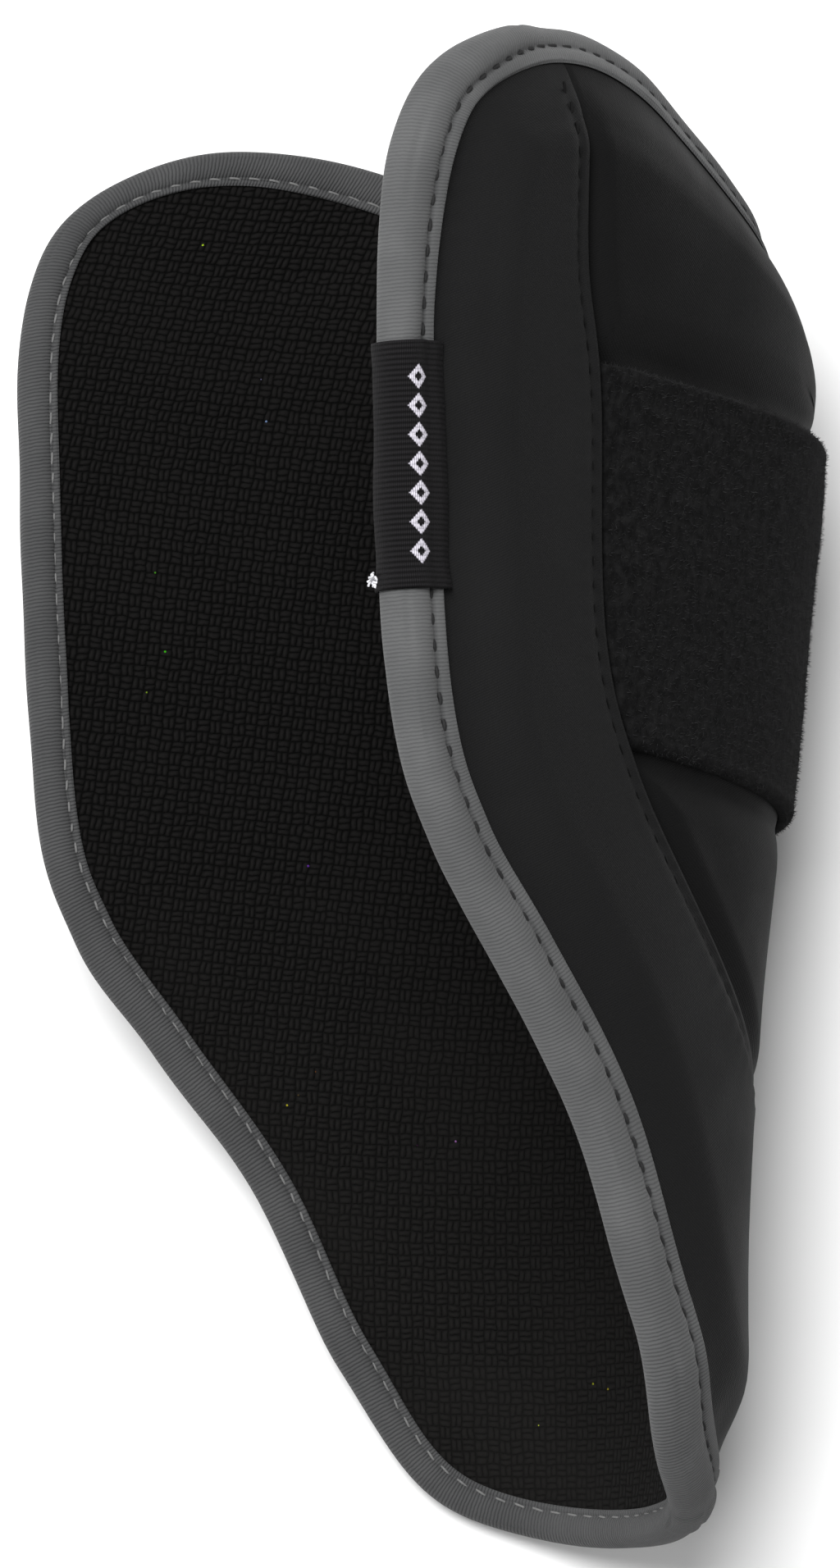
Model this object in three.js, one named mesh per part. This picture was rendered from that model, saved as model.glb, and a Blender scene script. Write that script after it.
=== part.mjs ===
// Batter's elbow guard: a padded shell folded round the arm, bound along its whole edge,
// with a wide elastic strap across the front and a small folded label on one edge.
//
// Millimetres. The shell is first drawn upright: the arm runs along Z with the tip at 0,
// the open side faces -Y, the crown of the fold faces +Y, and the labelled flank is at +X.
// At the end it is laid down on its other flank, as it lies by itself.
//
// A place on the shell has two coordinates: around, the way round the arm from the crown,
// and height, the way along the arm. A third, rise, is the way out from the arm side.

import * as THREE from 'three';
import { mergeVertices } from 'three/addons/utils/BufferGeometryUtils.js';

// Driving sizes of the shell
const guardLength = 208;
const wrapHalf = 118;
const crownReach = 90;
const crownRadius = 28;
const flankTaper = 13.8;

// The shell turns in towards the arm where its crown nears the rim: how far, over what
// height, and the shares of wrapHalf between which this fades out
const rimTurnIn = 7.4;
const rimTurnHeight = 35;
const rimTurnFade = [0.3, 0.95];

// Driving sizes of the layers, each rise counted from the arm side
const linerThickness = 2;
const edgeThickness = 4.8;
const edgeRounding = 1.2;
const sidePadding = 9;
const tipPadding = 6.6;
const tipPaddingHeight = 90;
const frontPadding = 8.6;
const padShoulder = 12;
const clearance = 0.3;

// Driving sizes of the seam between side cover and front panel
const seamRoll = 5;
const seamSteps = 160;
const sideSeamDip = 0.9;
const frontSeamDip = 1.8;

// Driving sizes of the trim
const bindingWidth = 7.5;
const bindingInnerWidth = 6;
const tapeThickness = 1.1;
const strapWidth = 53.5;
const strapCentre = 132.8;
const strapThickness = 1.9;
const strapSinkAtCrown = 0.7;
const strapSinkAtSeam = 1.6;
const strapSinkFade = 8;
const strapSinkSpread = 2.2 * crownRadius;
const labelLength = 35;
const labelCentre = 138;
const labelReach = 10.5;
const labelThickness = 1;

// How the guard lies by itself: rolled on to its other flank and the crown, in degrees,
// with the soft cover and strap pressed flat where they touch the surface
const layRoll = -54;
const layPitch = 1.3;
const pressDepth = 0.8;

// The fold of the shell at five heights, in shares of guardLength, crownReach and crownRadius
const sectionRows = [
  { height: 0.0, reach: 0.94, radius: 1.3 },
  { height: 0.3, reach: 0.904, radius: 1.2 },
  { height: 0.55, reach: 0.962, radius: 0.97 },
  { height: 0.8, reach: 1.02, radius: 0.935 },
  { height: 1.0, reach: 1.154, radius: 0.864 },
];

// Half of the edge, from the crown of the rim down one flank to the tip,
// in shares of wrapHalf and guardLength
const edgeRows = [
  { around: 0, height: 0.861 },
  { around: 0.275, height: 0.925 },
  { around: 0.635, height: 0.991 },
  { around: 0.831, height: 1.0, mark: 'seam' },
  { around: 0.965, height: 0.959, mark: 'corner' },
  { around: 1.0, height: 0.884 },
  { around: 0.949, height: 0.734 },
  { around: 0.877, height: 0.508 },
  { around: 0.8, height: 0.414 },
  { around: 0.683, height: 0.339 },
  { around: 0.545, height: 0.244 },
  { around: 0.44, height: 0.125 },
  { around: 0.3, height: 0.026 },
  { around: 0, height: 0 },
];
const seamRowOnRim = edgeRows.findIndex((row) => row.mark === 'seam');
const cornerRow = edgeRows.findIndex((row) => row.mark === 'corner');

// Half of the seam, from the rim down to the foot of the front panel, in the same shares
const seamRows = [
  { around: 0.75, height: 0.909 },
  { around: 0.69, height: 0.829 },
  { around: 0.625, height: 0.74 },
  { around: 0.575, height: 0.58 },
  { around: 0.51, height: 0.5 },
  { around: 0.42, height: 0.437 },
  { around: 0.29, height: 0.367 },
  { around: 0.14, height: 0.308 },
  { around: 0, height: 0.288 },
];

// How finely the shell is divided
const rowsBelowStrap = 15;
const rowsUnderStrap = 7;
const rowsAboveStrap = 4;
const columnsPerSide = 8;
const columnCrowding = 1.25;

const strapLow = strapCentre - strapWidth / 2;
const strapHigh = strapCentre + strapWidth / 2;
const shoulderStart = bindingWidth + 0.5;
const tapeMiddle = bindingWidth * 0.56;
const rimDrops = [0, tapeMiddle, shoulderStart + 0.7, shoulderStart + padShoulder * 0.4,
  shoulderStart + padShoulder * 0.9];
const stripShare = 0.19;
const beforeSeamShare = 0.6;

// Soft step from 0 to 1
const ease = (value, start, end) => THREE.MathUtils.smoothstep(value, start, end);
const mix = THREE.MathUtils.lerp;

// A smooth line through the rows of a table, read at any place
function smoothColumn(places, values, place) {
  const last = places.length - 1;
  const slope = (i) => {
    const a = Math.max(i - 1, 0);
    const b = Math.min(i + 1, last);
    return (values[b] - values[a]) / (places[b] - places[a]);
  };
  if (place <= places[0]) return values[0] + slope(0) * (place - places[0]);
  if (place >= places[last]) return values[last] + slope(last) * (place - places[last]);
  let i = 0;
  while (place > places[i + 1]) i += 1;
  const span = places[i + 1] - places[i];
  const t = (place - places[i]) / span;
  const endShare = t * t * (3 - 2 * t);
  const startPush = t * (1 - t) * (1 - t) * span;
  const endPush = -t * t * (1 - t) * span;
  return mix(values[i], values[i + 1], endShare) + slope(i) * startPush + slope(i + 1) * endPush;
}

const sectionHeights = sectionRows.map((row) => row.height * guardLength);
const sectionReaches = sectionRows.map((row) => row.reach * crownReach);
const sectionRadii = sectionRows.map((row) => row.radius * crownRadius);
const reachAt = (height) => smoothColumn(sectionHeights, sectionReaches, height);
const radiusAt = (height) => smoothColumn(sectionHeights, sectionRadii, height);

// The fold as one curve of unit crown radius: it bends most at the crown and eases into
// a straight flank, so its turn angle ends at a right angle less the taper
const foldStep = 0.005;
const foldLength = 12;
const fold = [{ across: 0, back: 0, turn: 0 }];
const foldTurn = Math.PI / 2 - THREE.MathUtils.degToRad(flankTaper);
const foldSpread = foldTurn / 1.1107;
for (let way = foldStep; way <= foldLength; way += foldStep) {
  const before = fold[fold.length - 1];
  const turn = before.turn + foldStep / (1 + ((way - foldStep / 2) / foldSpread) ** 4);
  const middle = (before.turn + turn) / 2;
  fold.push({
    across: before.across + foldStep * Math.cos(middle),
    back: before.back + foldStep * Math.sin(middle),
    turn,
  });
}
function foldAt(way) {
  const place = Math.min(way / foldStep, fold.length - 1.001);
  const a = fold[Math.floor(place)];
  const b = fold[Math.floor(place) + 1];
  const t = place - Math.floor(place);
  return {
    across: mix(a.across, b.across, t),
    back: mix(a.back, b.back, t),
    turn: mix(a.turn, b.turn, t),
  };
}

// Point of the shell at a place of the flat pattern and a rise out from the arm side
function shellPoint(place, rise) {
  const side = place.x < 0 ? -1 : 1;
  const radius = radiusAt(place.y);
  const bend = foldAt(Math.abs(place.x) / radius);
  const lean = (reachAt(place.y + 1) - reachAt(place.y - 1)) / 2;
  const outward = new THREE.Vector3(
    side * Math.sin(bend.turn),
    Math.cos(bend.turn),
    -lean * Math.cos(bend.turn),
  ).normalize();
  const base = new THREE.Vector3(
    side * radius * bend.across,
    reachAt(place.y) - radius * bend.back,
    place.y,
  );
  return base.addScaledVector(outward, rise - turnedIn(place));
}
// How far the shell has turned in towards the arm at a place
function turnedIn(place) {
  const around = Math.abs(place.x);
  const nearRim = THREE.MathUtils.clamp(1 - (rimHeight(around) - place.y) / rimTurnHeight, 0, 1);
  const [full, none] = rimTurnFade.map((share) => share * wrapHalf);
  return rimTurnIn * nearRim ** 2 * (1 - ease(around, full, none));
}

// A trail is a run of flat points that can be read by distance
function makeTrail(points) {
  const marks = [0];
  for (let i = 1; i < points.length; i += 1) {
    marks.push(marks[i - 1] + points[i].distanceTo(points[i - 1]));
  }
  return { points, marks, length: marks[marks.length - 1] };
}
function trailPoint(trail, mark) {
  let i = 0;
  while (i < trail.marks.length - 2 && mark > trail.marks[i + 1]) i += 1;
  const t = (mark - trail.marks[i]) / (trail.marks[i + 1] - trail.marks[i]);
  return trail.points[i].clone().lerp(trail.points[i + 1], THREE.MathUtils.clamp(t, 0, 1));
}
// The first mark where measure(point) has reached the wanted value
function markWhere(trail, measure, wanted) {
  for (let i = 1; i < trail.points.length; i += 1) {
    const a = measure(trail.points[i - 1]);
    const b = measure(trail.points[i]);
    if (b >= wanted) return mix(trail.marks[i - 1], trail.marks[i], (wanted - a) / (b - a));
  }
  return trail.length;
}
const mirrored = (point) => new THREE.Vector2(-point.x, point.y);
const toFlat = (row) => new THREE.Vector2(row.around * wrapHalf, row.height * guardLength);

// The edge of the flat pattern, and its stretches on one flank
const halfEdge = edgeRows.map(toFlat);
const edgePoints = halfEdge.concat(halfEdge.slice(1, -1).reverse().map(mirrored));
const edgeCurve = new THREE.CatmullRomCurve3(
  edgePoints.map((point) => new THREE.Vector3(point.x, point.y, 0)), true, 'catmullrom', 0.5);
function edgeStretch(fromRow, toRow, steps) {
  const points = [];
  for (let i = 0; i <= steps; i += 1) {
    const point = edgeCurve.getPoint(mix(fromRow, toRow, i / steps) / edgePoints.length);
    points.push(new THREE.Vector2(point.x, point.y));
  }
  return makeTrail(points);
}
const rimTrail = edgeStretch(0, seamRowOnRim, 60);
const shoulderTrail = edgeStretch(cornerRow, seamRowOnRim, 20);
const flankTrail = edgeStretch(edgeRows.length - 1, cornerRow, 200);
const wholeEdge = edgeStretch(0, edgePoints.length, 400);

// The seam of one flank, from the foot of the front panel up to the rim
const halfSeam = [halfEdge[seamRowOnRim]].concat(seamRows.map(toFlat));
const seamPoints = halfSeam.concat(halfSeam.slice(0, -1).reverse().map(mirrored));
const seamCurve = new THREE.CatmullRomCurve3(
  seamPoints.map((point) => new THREE.Vector3(point.x, point.y, 0)), false, 'catmullrom', 0.5);
const seamTrail = makeTrail(Array.from({ length: seamSteps + 1 }, (_, i) => {
  const point = seamCurve.getPoint(mix(0.5, 0, i / seamSteps));
  return new THREE.Vector2(point.x, point.y);
}));

function distanceTo(trail, place) {
  let nearest = Infinity;
  const line = new THREE.Line3();
  const foot = new THREE.Vector3();
  const spot = new THREE.Vector3(place.x, place.y, 0);
  for (let i = 1; i < trail.points.length; i += 1) {
    line.start.set(trail.points[i - 1].x, trail.points[i - 1].y, 0);
    line.end.set(trail.points[i].x, trail.points[i].y, 0);
    line.closestPointToPoint(spot, true, foot);
    nearest = Math.min(nearest, foot.distanceTo(spot));
  }
  return nearest;
}
const seamDistance = (place) => distanceTo(seamTrail, new THREE.Vector2(Math.abs(place.x), place.y));

// Height of the rim over a place round the arm
function rimHeight(around) {
  const mark = markWhere(rimTrail, (point) => point.x, Math.abs(around));
  return trailPoint(rimTrail, mark).y;
}

// Rise of the outer faces: pressed flat under the binding, padded farther in, drawn down
// at the seam, and pressed in by the strap
const pressedRise = (inset) => edgeThickness
  - edgeRounding * (1 - Math.min(Math.max(inset, 0) / bindingWidth, 1)) ** 2;
const padding = (inset) => ease(inset, shoulderStart, shoulderStart + padShoulder);
function sideRise(place) {
  const inset = distanceTo(wholeEdge, place);
  const dip = sideSeamDip * (1 - ease(seamDistance(place), 0, seamRoll));
  const full = mix(tipPadding, sidePadding, ease(place.y, 0, tipPaddingHeight));
  return pressedRise(inset) + padding(inset) * (full - edgeThickness - dip);
}
function frontRise(place) {
  const inset = distanceTo(wholeEdge, place);
  const fromSeam = seamDistance(place);
  const dip = frontSeamDip * (1 - ease(fromSeam, 0, seamRoll));
  const outsideStrap = Math.max(strapLow - place.y, place.y - strapHigh, 0);
  const sink = mix(strapSinkAtCrown, strapSinkAtSeam, ease(Math.abs(place.x), 0, strapSinkSpread))
    * (1 - ease(outsideStrap, 0, strapSinkFade));
  return pressedRise(inset) + padding(inset) * (frontPadding - edgeThickness - Math.max(dip, sink));
}

// Marks on the seam where the rows of the front panel end
const lowMark = markWhere(seamTrail, (point) => point.y, strapLow);
const highMark = markWhere(seamTrail, (point) => point.y, strapHigh);
const dropMarks = rimDrops.map((drop) => (drop === 0 ? seamTrail.length
  : markWhere(seamTrail, (point) => point.y - rimHeight(point.x), -drop))).reverse();
const seamMarks = [];
for (let i = 0; i < rowsBelowStrap; i += 1) seamMarks.push(mix(0, lowMark, i / rowsBelowStrap));
for (let i = 0; i < rowsUnderStrap; i += 1) seamMarks.push(mix(lowMark, highMark, i / rowsUnderStrap));
for (let i = 0; i < rowsAboveStrap; i += 1) {
  seamMarks.push(mix(highMark, dropMarks[0], i / rowsAboveStrap));
}
seamMarks.push(...dropMarks);
const strapFirstRow = rowsBelowStrap;
const strapLastRow = rowsBelowStrap + rowsUnderStrap;
const topRow = seamMarks.length - 1;

// One row of the front panel: level under the strap, bending into the line of the rim above it
function panelRow(mark, trim) {
  const along = trailPoint(seamTrail, mark + 0.5).sub(trailPoint(seamTrail, mark - 0.5)).normalize();
  const end = trailPoint(seamTrail, mark).add(new THREE.Vector2(-along.y, along.x).multiplyScalar(trim));
  const followsRim = ease(mark, highMark, dropMarks[0]);
  const row = [];
  for (let i = -columnsPerSide; i <= columnsPerSide; i += 1) {
    const share = Math.sign(i) * (Math.abs(i) / columnsPerSide) ** columnCrowding;
    const around = mark > 0 ? share * end.x : 0;
    const height = end.y + followsRim * (rimHeight(share * end.x) - rimHeight(end.x));
    row.push(new THREE.Vector2(around, height));
  }
  return row;
}

// One strip across the side cover, from the edge to the seam, at a row of the front panel
function sideStrip(index) {
  const mark = seamMarks[index];
  const seamPoint = trailPoint(seamTrail, mark);
  const markOnEdge = edgeMark(mark);
  const edgePoint = trailPoint(flankTrail, markOnEdge);
  const across = edgePoint.distanceTo(seamPoint);
  const insets = rimDrops.map((drop, i) => Math.min(drop, across * stripShare * i));
  const lastInset = insets[insets.length - 1];
  const beforeSeam = Math.max(across - seamRoll, mix(lastInset, across, beforeSeamShare));
  insets.push(mix(lastInset, beforeSeam, 0.5), beforeSeam, across);
  const followsRim = 1 - ease(flankTrail.length - markOnEdge, 0, padShoulder * 4);
  return insets.map((inset) => {
    const share = inset / across;
    const straight = edgePoint.clone().lerp(seamPoint, share);
    const bulge = trailPoint(shoulderTrail, share * shoulderTrail.length)
      .sub(shoulderTrail.points[0].clone().lerp(halfEdge[seamRowOnRim], share));
    return straight.addScaledVector(bulge, followsRim);
  });
}
// The mark on the flank's edge that faces a mark on the seam
function edgeMark(seamMark) {
  const edgeLow = markWhere(flankTrail, (point) => point.y, strapLow);
  const edgeHigh = markWhere(flankTrail, (point) => point.y, strapHigh);
  const edgeShoulder = flankTrail.length - rimDrops[rimDrops.length - 1];
  const seamStops = [0, lowMark, highMark, dropMarks[0], seamTrail.length];
  const edgeStops = [0, edgeLow, edgeHigh, edgeShoulder, flankTrail.length];
  let i = 0;
  while (i < seamStops.length - 2 && seamMark > seamStops[i + 1]) i += 1;
  const share = (seamMark - seamStops[i]) / (seamStops[i + 1] - seamStops[i]);
  return mix(edgeStops[i], edgeStops[i + 1], share);
}

// The flat grids: rows of the front panel, and strips of the side cover from one end of the
// rim, down round the foot of the front panel, and up to the other end
const panelGrid = seamMarks.map((mark) => panelRow(mark, 0));
const halfStrips = seamMarks.map((_, index) => sideStrip(index));
const sideGrid = halfStrips.slice(1).reverse().concat([halfStrips[0]],
  halfStrips.slice(1).map((strip) => strip.map(mirrored)));

// A mesh is gathered as loose triangles and welded at the end
class Skin {
  constructor() { this.corners = []; }
  triangle(a, b, c) { this.corners.push(a, b, c); }
  quad(a, b, c, d) {
    this.triangle(a, b, c);
    this.triangle(a, c, d);
  }
  sheet(grid, flip) {
    for (let i = 1; i < grid.length; i += 1) {
      for (let j = 1; j < grid[i].length; j += 1) {
        const [a, b, c, d] = [grid[i - 1][j - 1], grid[i - 1][j], grid[i][j], grid[i][j - 1]];
        if (flip) this.quad(a, b, c, d);
        else this.quad(a, d, c, b);
      }
    }
  }
  wall(lower, upper, flip) {
    this.sheet([lower, upper], flip);
  }
  geometry() {
    const loose = new THREE.BufferGeometry().setFromPoints(this.corners);
    const welded = mergeVertices(loose, 1e-4);
    const index = Array.from(welded.index.array);
    const kept = [];
    for (let i = 0; i < index.length; i += 3) {
      const [a, b, c] = index.slice(i, i + 3);
      if (a !== b && b !== c && c !== a) kept.push(a, b, c);
    }
    welded.setIndex(kept);
    welded.computeVertexNormals();
    return welded;
  }
}

const raised = (grid, riseOf) => grid.map((row) => row.map((place) => shellPoint(place, riseOf(place))));
const column = (grid, index) => grid.map((row) => row[index]);
const lastOf = (list) => list[list.length - 1];

// A padded layer over one flat grid, with walls round its four sides
function paddedLayer(grid, lowRise, highRise) {
  const low = raised(grid, lowRise);
  const high = raised(grid, highRise);
  const skin = new Skin();
  skin.sheet(high, false);
  skin.sheet(low, true);
  skin.wall(low[0], high[0], false);
  skin.wall(lastOf(low), lastOf(high), true);
  skin.wall(column(low, 0), column(high, 0), true);
  skin.wall(column(low, low[0].length - 1), column(high, high[0].length - 1), false);
  return skin.geometry();
}

const finish = (colour, roughness) => new THREE.MeshStandardMaterial({
  color: new THREE.Color().setRGB(...colour, THREE.SRGBColorSpace), roughness, metalness: 0,
});
function piece(name, geometry, material) {
  const mesh = new THREE.Mesh(geometry, material);
  mesh.name = name;
  return mesh;
}

// Liner: the knit lining over the whole arm side
function makeLiner() {
  const skin = new Skin();
  const outer = () => linerThickness;
  const inner = () => 0;
  for (const [grid, flip] of [[panelGrid, false], [sideGrid, false]]) {
    skin.sheet(raised(grid, outer), flip);
    skin.sheet(raised(grid, inner), !flip);
  }
  skin.wall(lastOf(raised(panelGrid, inner)), lastOf(raised(panelGrid, outer)), true);
  const low = raised(sideGrid, inner);
  const high = raised(sideGrid, outer);
  skin.wall(low[0], high[0], false);
  skin.wall(lastOf(low), lastOf(high), true);
  skin.wall(column(low, 0), column(high, 0), true);
  return piece('liner', skin.geometry(), finish([0.055, 0.052, 0.05], 0.95));
}

// Side cover: both flanks and the foot, padded
function makeSideCover() {
  const geometry = paddedLayer(sideGrid, () => linerThickness + clearance, sideRise);
  return piece('side_cover', geometry, finish([0.135, 0.135, 0.135], 0.6));
}

// Front panel: the padded tongue between the seams
function makeFrontPanel() {
  const grid = seamMarks.map((mark) => panelRow(mark, clearance));
  const geometry = paddedLayer(grid, () => linerThickness + clearance, frontRise);
  return piece('front_panel', geometry, finish([0.13, 0.13, 0.13], 0.6));
}

// Elastic strap: a band over the front panel, from seam to seam
function makeElasticStrap() {
  const rows = seamMarks.slice(strapFirstRow, strapLastRow + 1).map((mark) => panelRow(mark, clearance));
  const underside = (place) => frontRise(place) + clearance;
  const geometry = paddedLayer(rows, underside, (place) => underside(place) + strapThickness);
  return piece('elastic_strap', geometry, finish([0.095, 0.095, 0.095], 0.98));
}

// A closed section swept along flat places, each with its direction towards the inside
function sweep(stations, section, closed) {
  const rings = stations.map(({ place, inward }) => section.map(({ inset, rise }) => (
    shellPoint(place.clone().addScaledVector(inward, inset), rise))));
  if (closed) rings.push(rings[0]);
  const skin = new Skin();
  skin.sheet(rings.map((ring) => ring.concat([ring[0]])), false);
  return { skin, rings };
}

// Section of a band folded round the edge, drawn in inset, the way in from the edge, and rise.
// Its inner line keeps one gap to the pressed layers, its outer line a wider one.
function foldedLine(gap, outerReach, innerReach) {
  const middle = pressedRise(0) / 2;
  const insets = [outerReach, bindingWidth, rimDrops[1], 0].filter((inset) => inset <= outerReach);
  const line = [...new Set(insets)].map((inset) => ({ inset, rise: pressedRise(inset) + gap }));
  line.push(
    { inset: -gap * 0.75, rise: pressedRise(0) + gap * 0.6 },
    { inset: -gap, rise: middle },
    { inset: -gap * 0.75, rise: -gap * 0.6 },
    { inset: 0, rise: -gap },
    { inset: innerReach, rise: -gap },
  );
  return line;
}
function foldedSection(gap, thickness, outerReach, innerReach) {
  const innerLine = foldedLine(gap, outerReach, innerReach);
  return innerLine.concat(foldedLine(gap + thickness, outerReach, innerReach).reverse());
}

// Places all round the edge, shared with the layers that the binding holds, each with its
// neighbour farther in. Where the shell is curved, the tape follows the lines of the layers.
function edgeLoop() {
  const pair = (place, inner) => ({ place, inner });
  const topStrip = lastOf(halfStrips);
  const nextStrip = halfStrips[topRow - 1];
  const overRim = lastOf(panelGrid).map((place, i) => pair(place, panelGrid[topRow - 1][i]));
  const shoulder = topStrip.map((place, i) => pair(place, nextStrip[Math.max(i, 1)])).reverse();
  const flank = halfStrips.map((strip) => pair(strip[0], strip[1])).reverse();
  const right = overRim.slice(columnsPerSide, -1).concat(shoulder.slice(0, -1), [lastOf(shoulder)],
    flank.slice(1, -1));
  const left = right.slice(1).reverse().map(({ place, inner }) => pair(mirrored(place), mirrored(inner)));
  return right.concat([lastOf(flank)], left);
}
function edgeStations() {
  const loop = edgeLoop();
  const count = loop.length;
  return loop.map(({ place, inner }, i) => {
    const after = loop[(i + 1) % count].place;
    const before = loop[(i + count - 1) % count].place;
    const along = after.clone().sub(before).normalize();
    const square = new THREE.Vector2(along.y, -along.x);
    const alongLines = inner.clone().sub(place).normalize();
    alongLines.divideScalar(Math.max(alongLines.dot(square), 0.5));
    const onFlat = ease(Math.abs(place.x), wrapHalf * 0.6, wrapHalf * 0.8);
    return { place, inward: alongLines.lerp(square, onFlat) };
  });
}

// Edge binding: tape folded round the whole edge
function makeEdgeBinding() {
  const section = foldedSection(clearance, tapeThickness, bindingWidth, bindingInnerWidth);
  const { skin } = sweep(edgeStations(), section, true);
  return piece('edge_binding', skin.geometry(), finish([0.37, 0.37, 0.375], 0.85));
}

// Woven label: folded over the binding of the labelled flank
function makeWovenLabel() {
  const bottom = markWhere(flankTrail, (point) => point.y, labelCentre - labelLength / 2);
  const stations = [];
  const steps = 5;
  for (let i = 0; i <= steps; i += 1) {
    const mark = bottom + labelLength * i / steps;
    const along = trailPoint(flankTrail, mark + 1).sub(trailPoint(flankTrail, mark - 1)).normalize();
    stations.push({ place: trailPoint(flankTrail, mark), inward: new THREE.Vector2(-along.y, along.x) });
  }
  const overTape = 2 * clearance + tapeThickness;
  const section = foldedSection(overTape, labelThickness, labelReach, bindingWidth + clearance);
  const { skin, rings } = sweep(stations.reverse(), section, false);
  for (const [ring, flip] of [[rings[0], false], [lastOf(rings), true]]) {
    const count = ring.length;
    for (let i = 0; i < count / 2 - 1; i += 1) {
      const square = [ring[i], ring[i + 1], ring[count - 2 - i], ring[count - 1 - i]];
      if (flip) square.reverse();
      skin.quad(...square);
    }
  }
  return piece('woven_label', skin.geometry(), finish([0.115, 0.11, 0.115], 0.8));
}

const shell = new THREE.Group();
shell.add(
  makeLiner(),
  makeSideCover(),
  makeFrontPanel(),
  makeElasticStrap(),
  makeEdgeBinding(),
  makeWovenLabel(),
);
shell.rotation.set(THREE.MathUtils.degToRad(layPitch - 90), 0, THREE.MathUtils.degToRad(layRoll));
shell.updateMatrixWorld(true);

// Press flat what lies lowest, square to the surface that the guard lies on
function pressFlat(group, depth) {
  const up = new THREE.Vector3(0, 0, 1).applyQuaternion(group.quaternion.clone().invert());
  const corner = new THREE.Vector3();
  const eachCorner = (visit) => {
    for (const mesh of group.children) {
      const corners = mesh.geometry.attributes.position;
      for (let i = 0; i < corners.count; i += 1) {
        visit(corner.fromBufferAttribute(corners, i), corners, i);
      }
    }
  };
  let lowest = Infinity;
  eachCorner((point) => { lowest = Math.min(lowest, point.dot(up)); });
  eachCorner((point, corners, i) => {
    const below = lowest + depth - point.dot(up);
    if (below <= 0) return;
    point.addScaledVector(up, below);
    corners.setXYZ(i, point.x, point.y, point.z);
  });
}
pressFlat(shell, pressDepth);

// The origin is on the surface, under the middle of the guard
const reach = new THREE.Box3().setFromObject(shell, true);
const middle = reach.getCenter(new THREE.Vector3());
shell.position.set(-middle.x, -middle.y, -reach.min.z);
const guard = new THREE.Group();
guard.add(shell);

export default guard;
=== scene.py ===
# %% [markdown]
# # A batter's elbow guard, sewn in Blender
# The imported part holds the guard's real pieces at their real size: a knit lining, a padded
# side cover, a padded front panel, an elastic strap, a tape bound round the edge and a small
# folded label. This lesson dresses each one as cloth. The frame comes first, because every
# piece has to sit where its solid sits.

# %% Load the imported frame
import math

import bmesh
import bpy
import numpy as np
from mathutils import Matrix, Vector


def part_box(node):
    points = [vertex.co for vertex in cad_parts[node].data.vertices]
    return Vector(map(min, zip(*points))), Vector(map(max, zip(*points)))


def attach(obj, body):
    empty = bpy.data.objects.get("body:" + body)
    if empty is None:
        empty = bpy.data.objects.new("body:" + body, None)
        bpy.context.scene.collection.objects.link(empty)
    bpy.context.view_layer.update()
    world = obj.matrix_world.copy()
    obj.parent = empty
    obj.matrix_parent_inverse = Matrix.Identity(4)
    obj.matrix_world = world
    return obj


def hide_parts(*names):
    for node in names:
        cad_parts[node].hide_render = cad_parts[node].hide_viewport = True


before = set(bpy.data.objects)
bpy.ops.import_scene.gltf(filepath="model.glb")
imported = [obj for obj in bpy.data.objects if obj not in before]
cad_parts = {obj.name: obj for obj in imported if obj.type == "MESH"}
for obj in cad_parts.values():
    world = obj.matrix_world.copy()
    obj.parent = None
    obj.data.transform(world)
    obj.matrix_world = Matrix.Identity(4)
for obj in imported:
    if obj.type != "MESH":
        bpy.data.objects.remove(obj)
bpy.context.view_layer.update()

MM = 0.001
ROOT = "root"
print("nodes:", sorted(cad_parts))

# %% [markdown]
# ## The sizes of the guard
# The guard is a flat pattern folded round the arm. A place on it has a way round the arm from
# the crown of the fold and a height along the arm, and a third number, the rise, counts the way
# out from the arm side. Most sizes are those that the solids were made from, so a finer mesh
# made from them falls on the same surface. The bulk of the tape, the rolled rim, the drawn foot
# and the slide of the near seam are finer than the solids have them.

# %% Named sizes, in millimetres
GUARD_LENGTH = 208.0
WRAP_HALF = 118.0
CROWN_REACH = 90.0
CROWN_RADIUS = 28.0
FLANK_TAPER = 13.8
RIM_TURN_IN = 7.4
RIM_TURN_HEIGHT = 35.0
RIM_TURN_FADE = (0.3, 0.95)

LINER_THICKNESS = 2.0
EDGE_THICKNESS = 4.8
EDGE_ROUNDING = 1.2
SIDE_PADDING = 9.0
TIP_PADDING = 6.6
TIP_PADDING_HEIGHT = 90.0
FRONT_PADDING = 8.6
PAD_SHOULDER = 12.0
CLEARANCE = 0.3

SEAM_ROLL = 5.0
SIDE_SEAM_DIP = 0.9
FRONT_SEAM_DIP = 1.8

BINDING_WIDTH = 7.5
TAPE_BULK = 1.6
TAPE_BULK_FADE = 5.0
RIM_BEND_LENGTH = 15.0
RIM_BEND_TOP = 1.0
RIM_BEND_CROWN = 0.95
RIM_BEND_GROWS = (0.5, 0.8)
RIM_BEND_ENDS = (0.80, 0.95)
RIM_BEND_HEIGHTS = (0.68, 0.78)
FAR_SIDE_SHARE = 0.3
FAR_SIDE_FADE = (-0.6, -0.2)
RIM_REACH = 4.6
RIM_REACH_ENDS = (0.55, 0.88)
RIM_REACH_FADE = (8.0, 60.0)
FOOT_DRAW = 4.3
FOOT_DRAW_HEIGHT = 26.0
FOOT_DRAW_STARTS = (-30.0, 12.0)
FOOT_DRAW_ENDS = (40.0, 62.0)
SEAM_TOP_SLIDE = 4.2
SEAM_TOP_AT = 0.82
SEAM_TOP_WIDTH = 16.0
SEAM_TOP_HEIGHTS = (0.78, 1.0)
STRAP_WIDTH = 53.5
STRAP_CENTRE = 132.8
STRAP_THICKNESS = 1.9
STRAP_SINK_AT_CROWN = 0.7
STRAP_SINK_AT_SEAM = 1.6
STRAP_SINK_FADE = 8.0
STRAP_TUCK = 1.2
STRAP_TUCK_FADE = 6.0
LABEL_LENGTH = 35.0
LABEL_CENTRE = 138.0

LAY_ROLL = -54.0
LAY_PITCH = 1.3

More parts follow.
